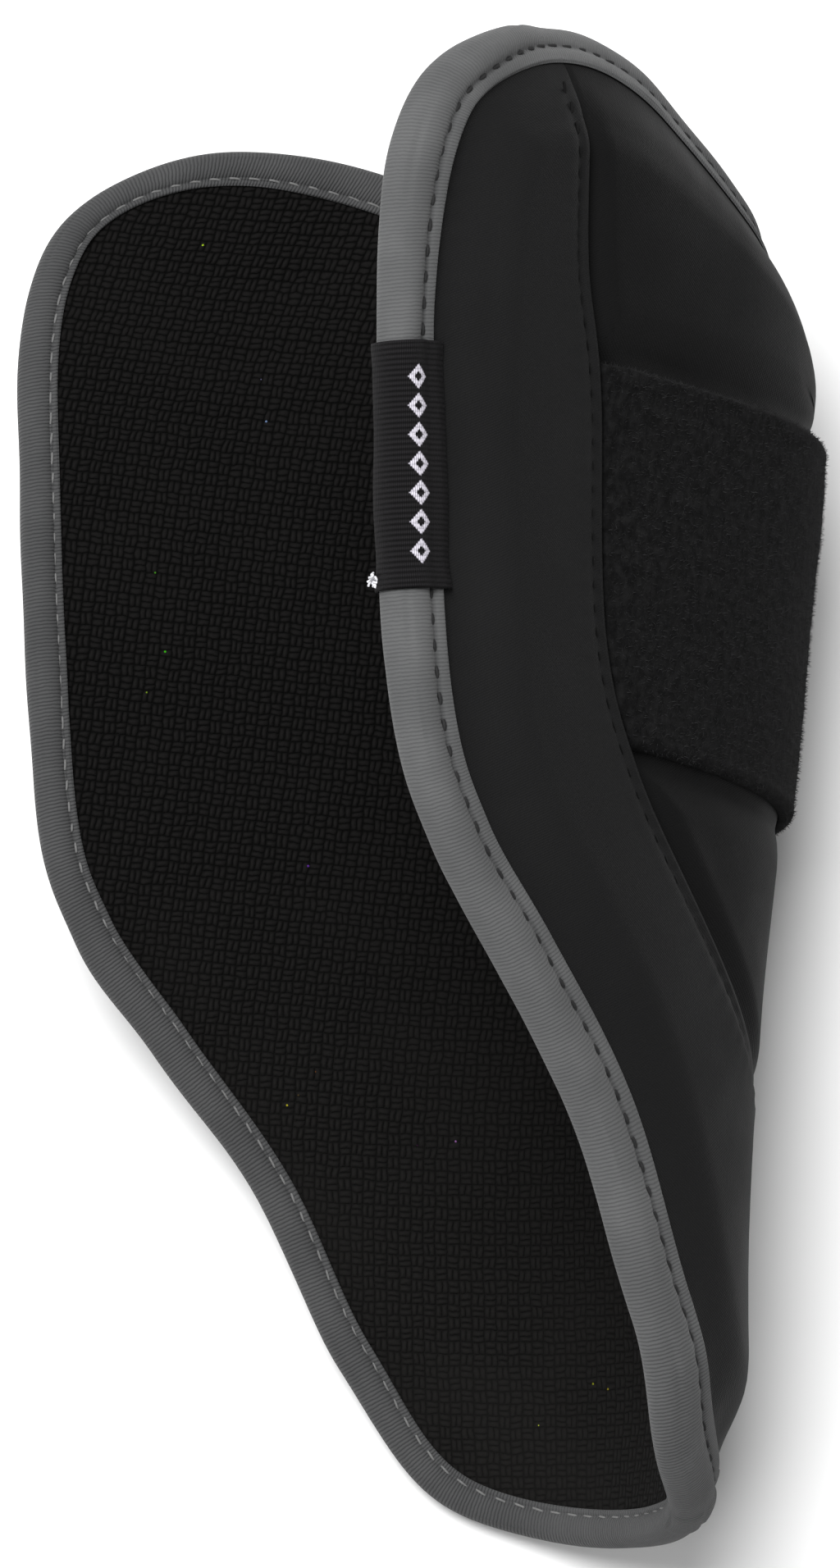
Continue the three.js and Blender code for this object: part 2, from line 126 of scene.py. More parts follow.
STRAP_LOW = STRAP_CENTRE - STRAP_WIDTH / 2
STRAP_HIGH = STRAP_CENTRE + STRAP_WIDTH / 2
SHOULDER_START = BINDING_WIDTH + 0.5

# Height, reach and radius of the fold, in shares of the three driving sizes
SECTIONS = np.array([
    (0.00, 0.940, 1.30),
    (0.30, 0.904, 1.200),
    (0.55, 0.962, 0.970),
    (0.80, 1.020, 0.935),
    (1.00, 1.154, 0.864),
]) * (GUARD_LENGTH, CROWN_REACH, CROWN_RADIUS)

# Half of the edge, from the crown of the rim down one flank to the tip
HALF_EDGE = np.array([
    (0.000, 0.861), (0.275, 0.925), (0.635, 0.991), (0.831, 1.000), (0.965, 0.959),
    (1.000, 0.884), (0.949, 0.734), (0.877, 0.508), (0.800, 0.414), (0.683, 0.339),
    (0.545, 0.244), (0.440, 0.125), (0.300, 0.026), (0.000, 0.000),
]) * (WRAP_HALF, GUARD_LENGTH)
SEAM_ROW_ON_RIM = 3
CORNER_ROW = 4

# Half of the seam, from the rim down to the foot of the front panel
HALF_SEAM = np.array([
    (0.831, 1.000), (0.750, 0.909), (0.690, 0.829), (0.625, 0.740), (0.575, 0.580),
    (0.510, 0.500), (0.420, 0.437), (0.290, 0.367), (0.140, 0.308), (0.000, 0.288),
]) * (WRAP_HALF, GUARD_LENGTH)
print("edge rows:", len(HALF_EDGE), "seam rows:", len(HALF_SEAM))

# %% [markdown]
# ## From flat pattern to folded shell
# The fold is one curve: it turns most at the crown and eases into straight flanks. Adding up
# small turns gives that curve once, and scaling it by the radius at each height gives the shell.
# The same place with another rise gives the next layer out, so layers never cross.

# %% The fold, and the shell point of any place
def ease(value, start, end):
    share = np.clip((np.asarray(value, float) - start) / (end - start), 0.0, 1.0)
    return share * share * (3 - 2 * share)


def mix(a, b, share):
    return a + (b - a) * share


def unit(vectors):
    return vectors / np.linalg.norm(vectors, axis=-1, keepdims=True)


def hump(value, centre, width):
    """A smooth hill, 1 at its centre and near 0 at twice its width."""
    return np.exp(-((value - centre) / width) ** 2)


def beat(marks, pitch):
    return np.cos(2 * math.pi * marks / pitch)


def wrap_ease(around, start, end):
    """Ease between two shares of the way round the arm."""
    return ease(around, start * WRAP_HALF, end * WRAP_HALF)


def height_ease(places, start, end):
    """Ease between two shares of the guard's length."""
    return ease(places[..., 1], start * GUARD_LENGTH, end * GUARD_LENGTH)


def smooth_column(places, values, place):
    """A smooth line through the rows of a table, read at any places."""
    place = np.asarray(place, float)
    last = len(places) - 1
    rows = np.arange(last + 1)
    above, below = np.minimum(rows + 1, last), np.maximum(rows - 1, 0)
    slopes = (values[above] - values[below]) / (places[above] - places[below])
    row = np.clip(np.searchsorted(places, place) - 1, 0, last - 1)
    span = places[row + 1] - places[row]
    t = np.clip((place - places[row]) / span, 0.0, 1.0)
    line = mix(values[row], values[row + 1], t * t * (3 - 2 * t))
    line = line + slopes[row] * t * (1 - t) ** 2 * span - slopes[row + 1] * t * t * (1 - t) * span
    line = line + slopes[0] * np.minimum(place - places[0], 0)
    return line + slopes[last] * np.maximum(place - places[last], 0)


FOLD_STEP = 0.005
FOLD_LONGEST = 12
FOLD_SHARPNESS = 4
FOLD_AREA = 1.1107
FOLD_TURN = math.pi / 2 - math.radians(FLANK_TAPER)
FOLD_WAYS = np.arange(0, FOLD_LONGEST, FOLD_STEP)
fold_middles = FOLD_WAYS[1:] - FOLD_STEP / 2
fold_bend = 1 / (1 + (fold_middles / (FOLD_TURN / FOLD_AREA)) ** FOLD_SHARPNESS)
FOLD_TURNS = np.concatenate([[0], np.cumsum(fold_bend) * FOLD_STEP])
fold_middle = (FOLD_TURNS[1:] + FOLD_TURNS[:-1]) / 2
FOLD_ACROSS = np.concatenate([[0], np.cumsum(np.cos(fold_middle)) * FOLD_STEP])
FOLD_BACK = np.concatenate([[0], np.cumsum(np.sin(fold_middle)) * FOLD_STEP])


def reach_at(height):
    return smooth_column(SECTIONS[:, 0], SECTIONS[:, 1], height)


def radius_at(height):
    return smooth_column(SECTIONS[:, 0], SECTIONS[:, 2], height)


def upright_point(around, height, rise):
    """The folded shell while it stands upright, and its outward directions."""
    around, height, rise = np.broadcast_arrays(around, height, np.asarray(rise, float))
    side = np.where(around < 0, -1.0, 1.0)
    radius = radius_at(height)
    way = np.abs(around) / radius
    turn = np.interp(way, FOLD_WAYS, FOLD_TURNS)
    lean = (reach_at(height + 1) - reach_at(height - 1)) / 2
    outward = unit(np.stack([side * np.sin(turn), np.cos(turn), -lean * np.cos(turn)], -1))
    base = np.stack([
        side * radius * np.interp(way, FOLD_WAYS, FOLD_ACROSS),
        reach_at(height) - radius * np.interp(way, FOLD_WAYS, FOLD_BACK),
        height,
    ], -1)
    return base + outward * (rise - turned_in(np.abs(around), height))[..., None], outward


def turned_in(around, height):
    """How far the shell turns in towards the arm where its crown nears the rim."""
    near_rim = np.clip(1 - (rim_height(around) - height) / RIM_TURN_HEIGHT, 0, 1)
    return RIM_TURN_IN * near_rim ** 2 * (1 - wrap_ease(around, *RIM_TURN_FADE))


def rim_height(around):
    return np.interp(np.abs(around), RIM_LINE[:, 0], RIM_LINE[:, 1])


print("turn of each flank:", round(math.degrees(FOLD_TURNS[-1]), 1), "degrees")

# %% [markdown]
# The guard lies by itself on one flank, so the upright shell is rolled over. The solids say
# where it lies: the middle of the lining's box is the one thing left to match.

# %% Lay the shell down where the solids lie
LAY = np.array(
    Matrix.Rotation(math.radians(LAY_PITCH - 90), 3, "X")
    @ Matrix.Rotation(math.radians(LAY_ROLL), 3, "Z")
)


def laid(points):
    return points @ LAY.T


print("rolled over by", -LAY_ROLL, "degrees")

# %% [markdown]
# The edge and the seam are smooth curves through a few places of the flat pattern. One half is
# given and the other half mirrors it. A mark is a way along such a line, and most things that
# follow an edge or a seam are found by their marks.

# %% Edge and seam as smooth lines
def catmull_rom(points, closed, steps):
    """A smooth curve through points, with the same number of steps on each stretch."""
    ends = (points[-1:], points[:2])
    if not closed:
        ends = (2 * points[:1] - points[1:2], 2 * points[-1:] - points[-2:-1])
    row = np.concatenate([ends[0], points, ends[1]])
    a, b, c, d = (row[k:len(row) - 3 + k, None] for k in range(4))
    t = (np.arange(steps) / steps)[:, None]
    curve = 0.5 * (2 * b + (c - a) * t + (2 * a - 5 * b + 4 * c - d) * t ** 2
                   + (3 * b - a - 3 * c + d) * t ** 3)
    curve = curve.reshape(-1, points.shape[1])
    return curve if closed else np.concatenate([curve, points[-1:]])


MIRROR = np.array([-1.0, 1.0])
CURVE_STEPS = 24
WHOLE_EDGE = catmull_rom(np.concatenate([HALF_EDGE, HALF_EDGE[-2:0:-1] * MIRROR]), True, CURVE_STEPS)
CLOSED_EDGE = np.concatenate([WHOLE_EDGE, WHOLE_EDGE[:1]])
WHOLE_SEAM = catmull_rom(np.concatenate([HALF_SEAM, HALF_SEAM[-2::-1] * MIRROR]), False, CURVE_STEPS)
SEAM_LINE = WHOLE_SEAM[:(len(HALF_SEAM) - 1) * CURVE_STEPS + 1][::-1]
RIM_END, CORNER = SEAM_ROW_ON_RIM * CURVE_STEPS, CORNER_ROW * CURVE_STEPS
RIM_LINE = WHOLE_EDGE[:RIM_END + 1]
SHOULDER_LINE = WHOLE_EDGE[RIM_END:CORNER + 1][::-1]
FLANK_LINE = WHOLE_EDGE[CORNER:(len(HALF_EDGE) - 1) * CURVE_STEPS + 1][::-1]


def marks_of(line):
    return np.concatenate([[0], np.cumsum(np.linalg.norm(np.diff(line, axis=0), axis=1))])


def read_line(line, marks):
    own = marks_of(line)
    return np.stack([np.interp(marks, own, line[:, k]) for k in range(line.shape[1])], -1)


def way_along(line, marks, step=0.5):
    return unit(read_line(line, marks + step) - read_line(line, marks - step))


def square_to(along):
    """A quarter turn to the left of each direction."""
    return np.stack([-along[..., 1], along[..., 0]], -1)


def mark_where(line, measure, wanted):
    """The first mark along a line where its measure reaches the wanted value."""
    own = marks_of(line)
    i = max(int(np.argmax(measure >= wanted)), 1)
    share = (wanted - measure[i - 1]) / (measure[i] - measure[i - 1])
    return mix(own[i - 1], own[i], share)


print("edge:", round(marks_of(CLOSED_EDGE)[-1], 1), "mm, seam:", round(marks_of(SEAM_LINE)[-1], 1), "mm")

# %% [markdown]
# Two grids cover the pattern: rows across the middle, from seam to seam, and strips from the
# edge to the seam round both flanks and the foot. Both follow the same marks of the seam, so
# neighbours meet point by point.

# %% Grids of flat places
def flat_rows(marks, shares, trim=0.0):
    """Rows of the front panel: level below the strap's top, bending into the rim above it."""
    ends = read_line(SEAM_LINE, marks) + square_to(way_along(SEAM_LINE, marks)) * trim
    around = np.where(marks[:, None] > 0, shares * ends[:, :1], 0)
    follows = ease(marks, SEAM_HIGH_MARK, SEAM_SHOULDER_MARK)[:, None]
    height = ends[:, 1:] + follows * (rim_height(around) - rim_height(ends[:, :1]))
    return np.stack([around, height], -1)


SEAM_LENGTH = marks_of(SEAM_LINE)[-1]
FLANK_LENGTH = marks_of(FLANK_LINE)[-1]
RIM_DROP = SHOULDER_START + 0.9 * PAD_SHOULDER
SEAM_LOW_MARK = mark_where(SEAM_LINE, SEAM_LINE[:, 1], STRAP_LOW)
SEAM_HIGH_MARK = mark_where(SEAM_LINE, SEAM_LINE[:, 1], STRAP_HIGH)
SEAM_SHOULDER_MARK = mark_where(SEAM_LINE, SEAM_LINE[:, 1] - rim_height(SEAM_LINE[:, 0]), -RIM_DROP)
SEAM_STOPS = [0, SEAM_LOW_MARK, SEAM_HIGH_MARK, SEAM_SHOULDER_MARK, SEAM_LENGTH]
EDGE_STOPS = [
    0,
    mark_where(FLANK_LINE, FLANK_LINE[:, 1], STRAP_LOW),
    mark_where(FLANK_LINE, FLANK_LINE[:, 1], STRAP_HIGH),
    FLANK_LENGTH - RIM_DROP,
    FLANK_LENGTH,
]


def flat_strips(marks, shares):
    """Strips across both flanks, from one end of the rim round the foot to the other."""
    edge_marks = np.interp(marks, SEAM_STOPS, EDGE_STOPS)
    edge = read_line(FLANK_LINE, edge_marks)[:, None]
    seam = read_line(SEAM_LINE, marks)[:, None]
    share = shares[None, :, None]
    shoulder = read_line(SHOULDER_LINE, shares * marks_of(SHOULDER_LINE)[-1])
    bulge = shoulder - mix(SHOULDER_LINE[0], SHOULDER_LINE[-1], shares[:, None])
    follows = 1 - ease(FLANK_LENGTH - edge_marks, 0, PAD_SHOULDER * 4)
    half = mix(edge, seam, share) + follows[:, None, None] * bulge[None]
    return np.concatenate([half[:0:-1], half[:1], half[1:] * MIRROR])


print("flank:", round(FLANK_LENGTH, 1), "mm, strap from", STRAP_LOW, "to", STRAP_HIGH, "mm")

# %% [markdown]
# Padding, stitches and the tape all depend on how far a place is from the edge or the seam.
# The layers also stop a little short of the edge, where the fold of the tape needs room.

# %% How far a place is from the edge and the seam
def nearest_step(line, places, chunk=4000):
    """How far flat places are from a line of many short steps, and which step is nearest."""
    flat = places.reshape(-1, 2)
    start = line[:-1]
    step = line[1:] - line[:-1]
    length = np.maximum((step ** 2).sum(1), 1e-12)
    found = np.empty(len(flat))
    which = np.empty(len(flat), int)
    for first in range(0, len(flat), chunk):
        away = flat[first:first + chunk, None] - start
        share = np.clip((away * step).sum(-1) / length, 0, 1)
        away -= share[..., None] * step
        square = (away ** 2).sum(-1)
        found[first:first + chunk] = np.sqrt(square.min(1))
        which[first:first + chunk] = square.argmin(1)
    return found.reshape(places.shape[:-1]), which.reshape(places.shape[:-1])


EDGE_INWARD = -square_to(unit(np.diff(CLOSED_EDGE, axis=0)))


def edge_distance(places):
    return nearest_step(CLOSED_EDGE, places)[0]


def seam_distance(places):
    return nearest_step(SEAM_LINE, np.stack([np.abs(places[..., 0]), places[..., 1]], -1))[0]


def tucked(places):
    """Places drawn back from the edge by the bulk of the tape."""
    inset, step = nearest_step(CLOSED_EDGE, places)
    pull = TAPE_BULK * (1 - np.clip(inset / TAPE_BULK_FADE, 0, 1))
    return places + EDGE_INWARD[step] * pull[..., None]


print("edge steps:", len(EDGE_INWARD))

# %% Match the lining to its solid
LINING_MARKS = np.linspace(0, SEAM_LENGTH, 111)
lining_panel = flat_rows(LINING_MARKS, np.linspace(-1, 1, 81))
lining_flanks = flat_strips(LINING_MARKS, np.linspace(0, 1, 27))
lining_places = np.concatenate([lining_panel.reshape(-1, 2), lining_flanks.reshape(-1, 2)])
lining_laid = np.concatenate([
    laid(upright_point(*lining_places.T, rise)[0]) for rise in (0.0, LINER_THICKNESS)
])
solid_low, solid_high = (np.array(corner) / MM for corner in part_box("liner"))
SHIFT = (solid_low + solid_high) / 2 - (lining_laid.min(0) + lining_laid.max(0)) / 2
lining_panel, lining_flanks = tucked(lining_panel), tucked(lining_flanks)
mismatch = np.abs(lining_laid.max(0) - lining_laid.min(0) - (solid_high - solid_low)).max()
print("shift to the frame, mm:", np.round(SHIFT, 2), "largest mismatch:", round(float(mismatch), 2))

# %% [markdown]
# The soft cover and strap are pressed flat where they touch the table. A rounded clamp does
# that: far above the table nothing changes, and what would go under it comes up to it.

# %% From a flat place to a point of the frame, in metres
REST_ROUNDING = 0.3


def rested(points):
    height = points[..., 2]
    points[..., 2] = (height + np.sqrt(height ** 2 + REST_ROUNDING ** 2)) / 2
    return points


def near_side(around):
    """1 on the labelled side, where the rim is rolled in most, and less on the far side."""
    return mix(FAR_SIDE_SHARE, 1.0, wrap_ease(around, *FAR_SIDE_FADE))


def rim_bend(places):
    """How far the rim is rolled in towards the arm, as an angle at its edge."""
    around = places[..., 0]
    angle = mix(RIM_BEND_CROWN, RIM_BEND_TOP, wrap_ease(np.abs(around), *RIM_BEND_GROWS))
    angle *= 1 - wrap_ease(np.abs(around), *RIM_BEND_ENDS)
    angle *= near_side(around)
    return angle * height_ease(places, *RIM_BEND_HEIGHTS)


def rim_reach(places):
    """How far the crown is pushed up behind the rolled rim, so that it keeps its outline."""
    around = places[..., 0]
    below_rim = rim_height(around) - places[..., 1]
    reach = RIM_REACH * (1 - wrap_ease(np.abs(around), *RIM_REACH_ENDS))
    reach *= near_side(around)
    return reach * (1 - ease(below_rim, *RIM_REACH_FADE))


def foot_draw(places):
    """How far the binding draws the foot in towards the arm, on the labelled side."""
    around = places[..., 0]
    draw = FOOT_DRAW * ease(around, *FOOT_DRAW_STARTS) * (1 - ease(around, *FOOT_DRAW_ENDS))
    return draw * (1 - ease(places[..., 1], 0, FOOT_DRAW_HEIGHT))


def seam_slide(places):
    """How far the cloth slides towards the crown where the near seam meets the rim."""
    near = hump(places[..., 0], SEAM_TOP_AT * WRAP_HALF, SEAM_TOP_WIDTH)
    return -SEAM_TOP_SLIDE * near * height_ease(places, *SEAM_TOP_HEIGHTS)


def bent(places, rise):
    """Flat places and rise after the rim is rolled in and the foot is drawn in."""
    distance, step = nearest_step(CLOSED_EDGE, places)
    inward = EDGE_INWARD[step]
    signed = ((places - CLOSED_EDGE[step]) * inward).sum(-1)
    inset = np.where(distance < RIM_BEND_LENGTH, signed, distance)
    angle = np.maximum(rim_bend(places), 1e-4)
    turn = angle * np.clip((RIM_BEND_LENGTH - inset) / RIM_BEND_LENGTH, 0, None)
    radius = RIM_BEND_LENGTH / angle
    along = np.maximum(RIM_BEND_LENGTH - inset, 0) - radius * np.sin(turn) - rise * np.sin(turn)
    moved = places + inward * along[..., None]
    moved[..., 0] += seam_slide(places)
    moved[..., 1] += rim_reach(places)
    return moved, rise * np.cos(turn) - radius * (1 - np.cos(turn)) - foot_draw(places)


def shell(places, rise):
    places, rise = bent(places, rise)
    upright, _ = upright_point(places[..., 0], places[..., 1], rise)
    return rested(laid(upright) + SHIFT) * MM


def pressed_rise(inset):
    open_share = 1 - np.clip(np.maximum(inset, 0) / BINDING_WIDTH, 0, 1)
    return EDGE_THICKNESS - EDGE_ROUNDING * open_share ** 2


def padding(inset, shoulder=PAD_SHOULDER):
    return ease(inset, SHOULDER_START, SHOULDER_START + shoulder)


print("height of the crown of the lining:", np.round(shell(np.array([[0.0, 120.0]]), 0.0), 4))

# %% [markdown]
# ## The camera
# The photograph looks down on the labelled flank with the rim at the top, from about a metre
# away with a long lens. The angles were found by matching the edge of the guard, and they are
# given in the guard's upright frame, where the arm runs straight up.

# %% Camera at the photograph's angle
PICTURE_WIDTH = 1024
PICTURE_HEIGHT = 1912
CAMERA_PITCH = math.radians(57.727)
CAMERA_TURN = math.radians(-12.443)
CAMERA_ROLL = math.radians(-2.35)
CAMERA_AIM = np.array([0.0, 50.0, 124.0])
CAMERA_DISTANCE = 1100.0
FOCAL_PIXELS = 9166.7
AIM_PIXEL = (602.7, 826.6)
SENSOR = 36.0


def photo_camera():
    """Place, right, up and back of the camera, aimed at the middle of the picture."""
    back = np.array([
        math.sin(CAMERA_PITCH) * math.cos(CAMERA_TURN),
        -math.cos(CAMERA_PITCH) * math.cos(CAMERA_TURN),
        math.sin(CAMERA_TURN),
    ])
    place = CAMERA_AIM + back * CAMERA_DISTANCE
    level = np.cross(-back, (0, 0, 1))
    level /= np.linalg.norm(level)
    upright = np.cross(level, -back)
    right = math.cos(CAMERA_ROLL) * level - math.sin(CAMERA_ROLL) * upright
    up = math.sin(CAMERA_ROLL) * level + math.cos(CAMERA_ROLL) * upright
    ahead = -back
    ahead = ahead + right * (PICTURE_WIDTH / 2 - AIM_PIXEL[0]) / FOCAL_PIXELS
    ahead = ahead + up * (AIM_PIXEL[1] - PICTURE_HEIGHT / 2) / FOCAL_PIXELS
    ahead /= np.linalg.norm(ahead)
    right = right - ahead * (right @ ahead)
    right /= np.linalg.norm(right)
    return place, right, np.cross(right, ahead), -ahead


def linked(name, data):
    """A new object of this name in the scene."""
    piece = bpy.data.objects.new(name, data)
    bpy.context.collection.objects.link(piece)
    return piece


def add_camera():
    place, right, up, back = photo_camera()
    data = bpy.data.cameras.new("photo_camera")
    data.sensor_fit = "VERTICAL"
    data.sensor_height = SENSOR
    data.lens = FOCAL_PIXELS * SENSOR / PICTURE_HEIGHT
    data.clip_end = 20
    camera = linked("photo_camera", data)
    turn = np.stack([laid(right), laid(up), laid(back)], 1)
    camera.matrix_world = Matrix.Translation(Vector((laid(place) + SHIFT) * MM)) @ Matrix(turn).to_4x4()
    bpy.context.scene.camera = camera
    return camera


camera = add_camera()
print("camera at", np.round(camera.location, 3), "lens", round(camera.data.lens, 1), "mm")

# %% [markdown]
# ## Table and light
# A white table top and broad lamps stand in for a product photographer's studio. The key lamp
# is large and high on the left, so that dark cloth shows its roundness by a wide soft highlight.

# %% Pale table
FLOOR_WIDTH = 6.0

half = FLOOR_WIDTH / 2
table_corners = [(-half, -half, 0), (half, -half, 0), (half, half, 0), (-half, half, 0)]
table_mesh = bpy.data.meshes.new("table_top")
table_mesh.from_pydata(table_corners, [], [range(4)])
floor = linked("table_top", table_mesh)
print("table top:", FLOOR_WIDTH, "m wide")

# %% Soft studio light
LAMPS = {
    "key_lamp": {"place": (-0.2, 0.35, 1.6), "size": 1.0, "watts": 38.0},
    "fill_lamp": {"place": (-0.5, -0.9, 1.3), "size": 1.4, "watts": 6.0},
    "rim_lamp": {"place": (-1.1, 0.6, 1.0), "size": 1.0, "watts": 2.0},
}
LAMP_AIM = (0, 0, 0.05)
SKY_STRENGTH = 0.32


def add_lamp(name, place, size, watts):
    data = bpy.data.lights.new(name, "AREA")
    data.shape = "DISK"
    data.size = size
    data.energy = watts
    lamp = linked(name, data)
    lamp.location = place
    lamp.rotation_euler = (Vector(LAMP_AIM) - Vector(place)).to_track_quat("-Z", "Y").to_euler()


for lamp_name, facts in LAMPS.items():
    add_lamp(lamp_name, **facts)
world = bpy.data.worlds.new("studio_air")
world.use_nodes = True
world.node_tree.nodes["Background"].inputs["Color"].default_value = (1, 1, 1, 1)
world.node_tree.nodes["Background"].inputs["Strength"].default_value = SKY_STRENGTH
bpy.context.scene.world = world
bpy.context.scene.view_settings.view_transform = "Standard"
print("lamps:", sorted(LAMPS))

# %% [markdown]
# ## Writing a finish
# A finish is a small network: places on the cloth in millimetres go in, and colour, roughness
# and relief come out. A short writer keeps each network readable. Every cloth here carries a
# UV map in millimetres of its flat pattern, so a weave follows the cloth round the fold.

# %% A small writer for node networks
SHEEN_ROUGHNESS = 0.45


class Wire:
    """What a node gives, ready for plain arithmetic."""

    def __init__(self, graph, socket):
        self.graph = graph
        self.socket = socket

    def __add__(self, other):
        return self.graph.math("ADD", self, other)

    def __sub__(self, other):
        return self.graph.math("SUBTRACT", self, other)

    def __rsub__(self, other):
        return self.graph.math("SUBTRACT", other, self)

    def __mul__(self, other):
        return self.graph.math("MULTIPLY", self, other)

    def __truediv__(self, other):
        return self.graph.math("DIVIDE", self, other)

    def __abs__(self):
        return self.graph.math("ABSOLUTE", self)


class Graph:
    """A node tree, written one node at a time."""

    def __init__(self, tree):
        self.tree = tree

    def feed(self, socket, value):
        if isinstance(value, Wire):
            self.tree.links.new(value.socket, socket)
        else:
            socket.default_value = value

    def results(self, kind, settings=None, **feeds):
        """Add a node, set its options, feed its inputs by name, and give its results."""
        node = self.tree.nodes.new(kind)
        for option, value in (settings or {}).items():
            setattr(node, option, value)
        sockets = [socket for socket in node.inputs if socket.enabled]
        for label, value in feeds.items():
            self.feed(next(s for s in sockets if s.name.replace(" ", "_") == label), value)
        return [Wire(self, socket) for socket in node.outputs if socket.enabled]

    def get(self, kind, settings=None, **feeds):
        return self.results(kind, settings, **feeds)[0]

    def math(self, operation, *values, kind="ShaderNodeMath"):
        node = self.tree.nodes.new(kind)
        node.operation = operation
        for socket, value in zip(node.inputs, values):
            self.feed(socket, value)
        return Wire(self, node.outputs[0])


class Finish(Graph):
    """A material whose colour and relief are worked out by nodes."""

    def __init__(self, name, colour, roughness, specular, sheen=0.0):
        self.material = bpy.data.materials.new(name)
        self.material.use_nodes = True
        super().__init__(self.material.node_tree)
        self.shader = self.tree.nodes["Principled BSDF"].inputs
        labels = ("Base Color", "Roughness", "Specular IOR Level", "Sheen Weight", "Sheen Roughness")
        for label, value in zip(labels, ((*colour, 1), roughness, specular, sheen, SHEEN_ROUGHNESS)):
            self.shader[label].default_value = value

    def flat(self):
        """Places on the flat pattern in millimetres, as one value and as its two parts."""
        both = self.get("ShaderNodeUVMap")
        return both, *self.results("ShaderNodeSeparateXYZ", Vector=both)[:2]

    def place(self):
        """Places in the frame, in metres."""
        return self.results("ShaderNodeTexCoord")[3]

    def noise(self, vector, scale, detail=3.0, roughness=0.5, stretch=(1, 1, 1)):
        grown = self.get("ShaderNodeMapping", Vector=vector, Scale=stretch)
        return self.get("ShaderNodeTexNoise", Vector=grown, Scale=scale, Detail=detail, Roughness=roughness)

    def wave(self, value, pitch):
        """Rounded ridges of this pitch, from 0 to 1."""
        return abs(self.math("SINE", value * (math.pi / pitch)))

    def ramp(self, value, low, high, start=0.0, end=1.0):
        return self.get(
            "ShaderNodeMapRange", {"interpolation_type": "SMOOTHSTEP"},
            Value=value, From_Min=low, From_Max=high, To_Min=start, To_Max=end,
        )

    def blend(self, share, first, second):
        first, second = ((*c, 1) if isinstance(c, tuple) else c for c in (first, second))
        return self.get("ShaderNodeMix", {"data_type": "RGBA"}, Factor=share, A=first, B=second)

    def relief(self, height, depth, strength=1.0):
        """Raise the surface by height times depth, in metres."""
        feeds = {"Strength": strength, "Distance": depth, "Height": height}
        normal = self.shader["Normal"]
        if normal.links:
            feeds["Normal"] = Wire(self, normal.links[0].from_socket)
        self.feed(normal, self.get("ShaderNodeBump", **feeds))

    def colour(self, value):
        self.feed(self.shader["Base Color"], value)


table_finish = Finish("matt_table", (0.86, 0.86, 0.86), 0.8, 0.1)
grain = table_finish.noise(table_finish.place(), 14.0)
table_finish.colour(table_finish.blend(grain, (0.84, 0.84, 0.84), (0.88, 0.88, 0.88)))
floor.data.materials.append(table_finish.material)
print("table finish:", table_finish.material.name)

# %% [markdown]
# ## From grids to closed cloth
# Every cloth is made from grids of flat places. Each grid becomes an outer and an inner sheet,
# thin walls close the sides, and welding joins what touches. Cloth made this way is closed,
# its faces point outwards, and its flat places stay on it as a UV map.

# %% Closed cloth from patches
WELD = 0.00001


def plain_mesh(name, points, edges, faces):
    mesh = bpy.data.meshes.new(name)
    mesh.from_pydata(points.reshape(-1, 3).tolist(), edges, np.asarray(faces).tolist())
    return mesh


def reworked(mesh, change):
    """Change a mesh's faces and corners in place, and give what the change gives."""
    work = bmesh.new()
    work.from_mesh(mesh)
    found = change(work)
    work.to_mesh(mesh)
    work.free()
    return found


def turn_outwards(work):
    bmesh.ops.recalc_face_normals(work, faces=work.faces)


def weld(work):
    """Join what touches, and count the edges that are left open."""
    bmesh.ops.remove_doubles(work, verts=work.verts, dist=WELD)
    bmesh.ops.dissolve_degenerate(work, edges=work.edges, dist=WELD / 10)
    turn_outwards(work)
    return sum(not edge.is_manifold for edge in work.edges)


def patch_quads(shape, offset):
    index = np.arange(shape[0] * shape[1]).reshape(shape) + offset
    corners = (index[:-1, :-1], index[1:, :-1], index[1:, 1:], index[:-1, 1:])
    return np.stack(corners, -1).reshape(-1, 4)


def sewn_mesh(name, patches):
    """One closed mesh from (points, flat places) grids, welded where they touch."""
    points, flats, quads = [], [], []
    offset = 0
    for grid, flat in patches:
        points.append(grid.reshape(-1, 3))
        flats.append(flat.reshape(-1, 2))
        quads.append(patch_quads(grid.shape[:2], offset))
        offset += grid.shape[0] * grid.shape[1]
    points, flats, quads = (np.concatenate(part) for part in (points, flats, quads))
    mesh = plain_mesh(name, points, [], quads)
    layer = mesh.uv_layers.new(name="flat_mm")
    layer.data.foreach_set("uv", flats[quads.ravel()].astype(np.float32).ravel())
    open_edges = reworked(mesh, weld)
    mesh.shade_smooth()
    mesh.calc_loop_triangles()
    print(name, "triangles:", len(mesh.loop_triangles), "open edges:", open_edges)
    return linked(name, mesh)


def wall(low_line, high_line, flat_line):
    return np.stack([low_line, high_line]), np.stack([flat_line, flat_line])


def four_walls(low, high, flat):
    sides = [(0, slice(None)), (-1, slice(None)), (slice(None), 0), (slice(None), -1)]
    return [wall(low[side], high[side], flat[side]) for side in sides]


def closed_mesh(name, low, high, flat):
    """One closed piece between a lower and an upper grid."""
    return sewn_mesh(name, [(low, flat), (high, flat), *four_walls(low, high, flat)])


def dressed(piece, finish, node):
    """Give a piece its finish and its place in the frame."""
    if not piece.data.materials:
        piece.data.materials.append(finish.material)
    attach(piece, ROOT)
    if node:
        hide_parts(node)
    return piece


print("weld distance:", WELD * 1000, "mm")

# %% [markdown]
# ## The knit lining
# The whole arm side is lined with a dark knit that looks like basketwork: pairs of short
# strands lie upright in one cell and level in the next. At this size the strands are under a
# millimetre, so they are worked out in the finish from the flat places, where they stay even
# round the fold, and the mesh keeps the shape and a few worn creases.

# %% Lining mesh
CREASES = (
    (-76.0, 190.0, 16.0, 0.7), (-84.0, 178.0, 14.0, 0.6), (-70.0, 168.0, 20.0, 0.5),
    (-88.0, 150.0, 12.0, 0.5), (-72.0, 96.0, 18.0, 0.4), (64.0, 110.0, 18.0, 0.4),
)


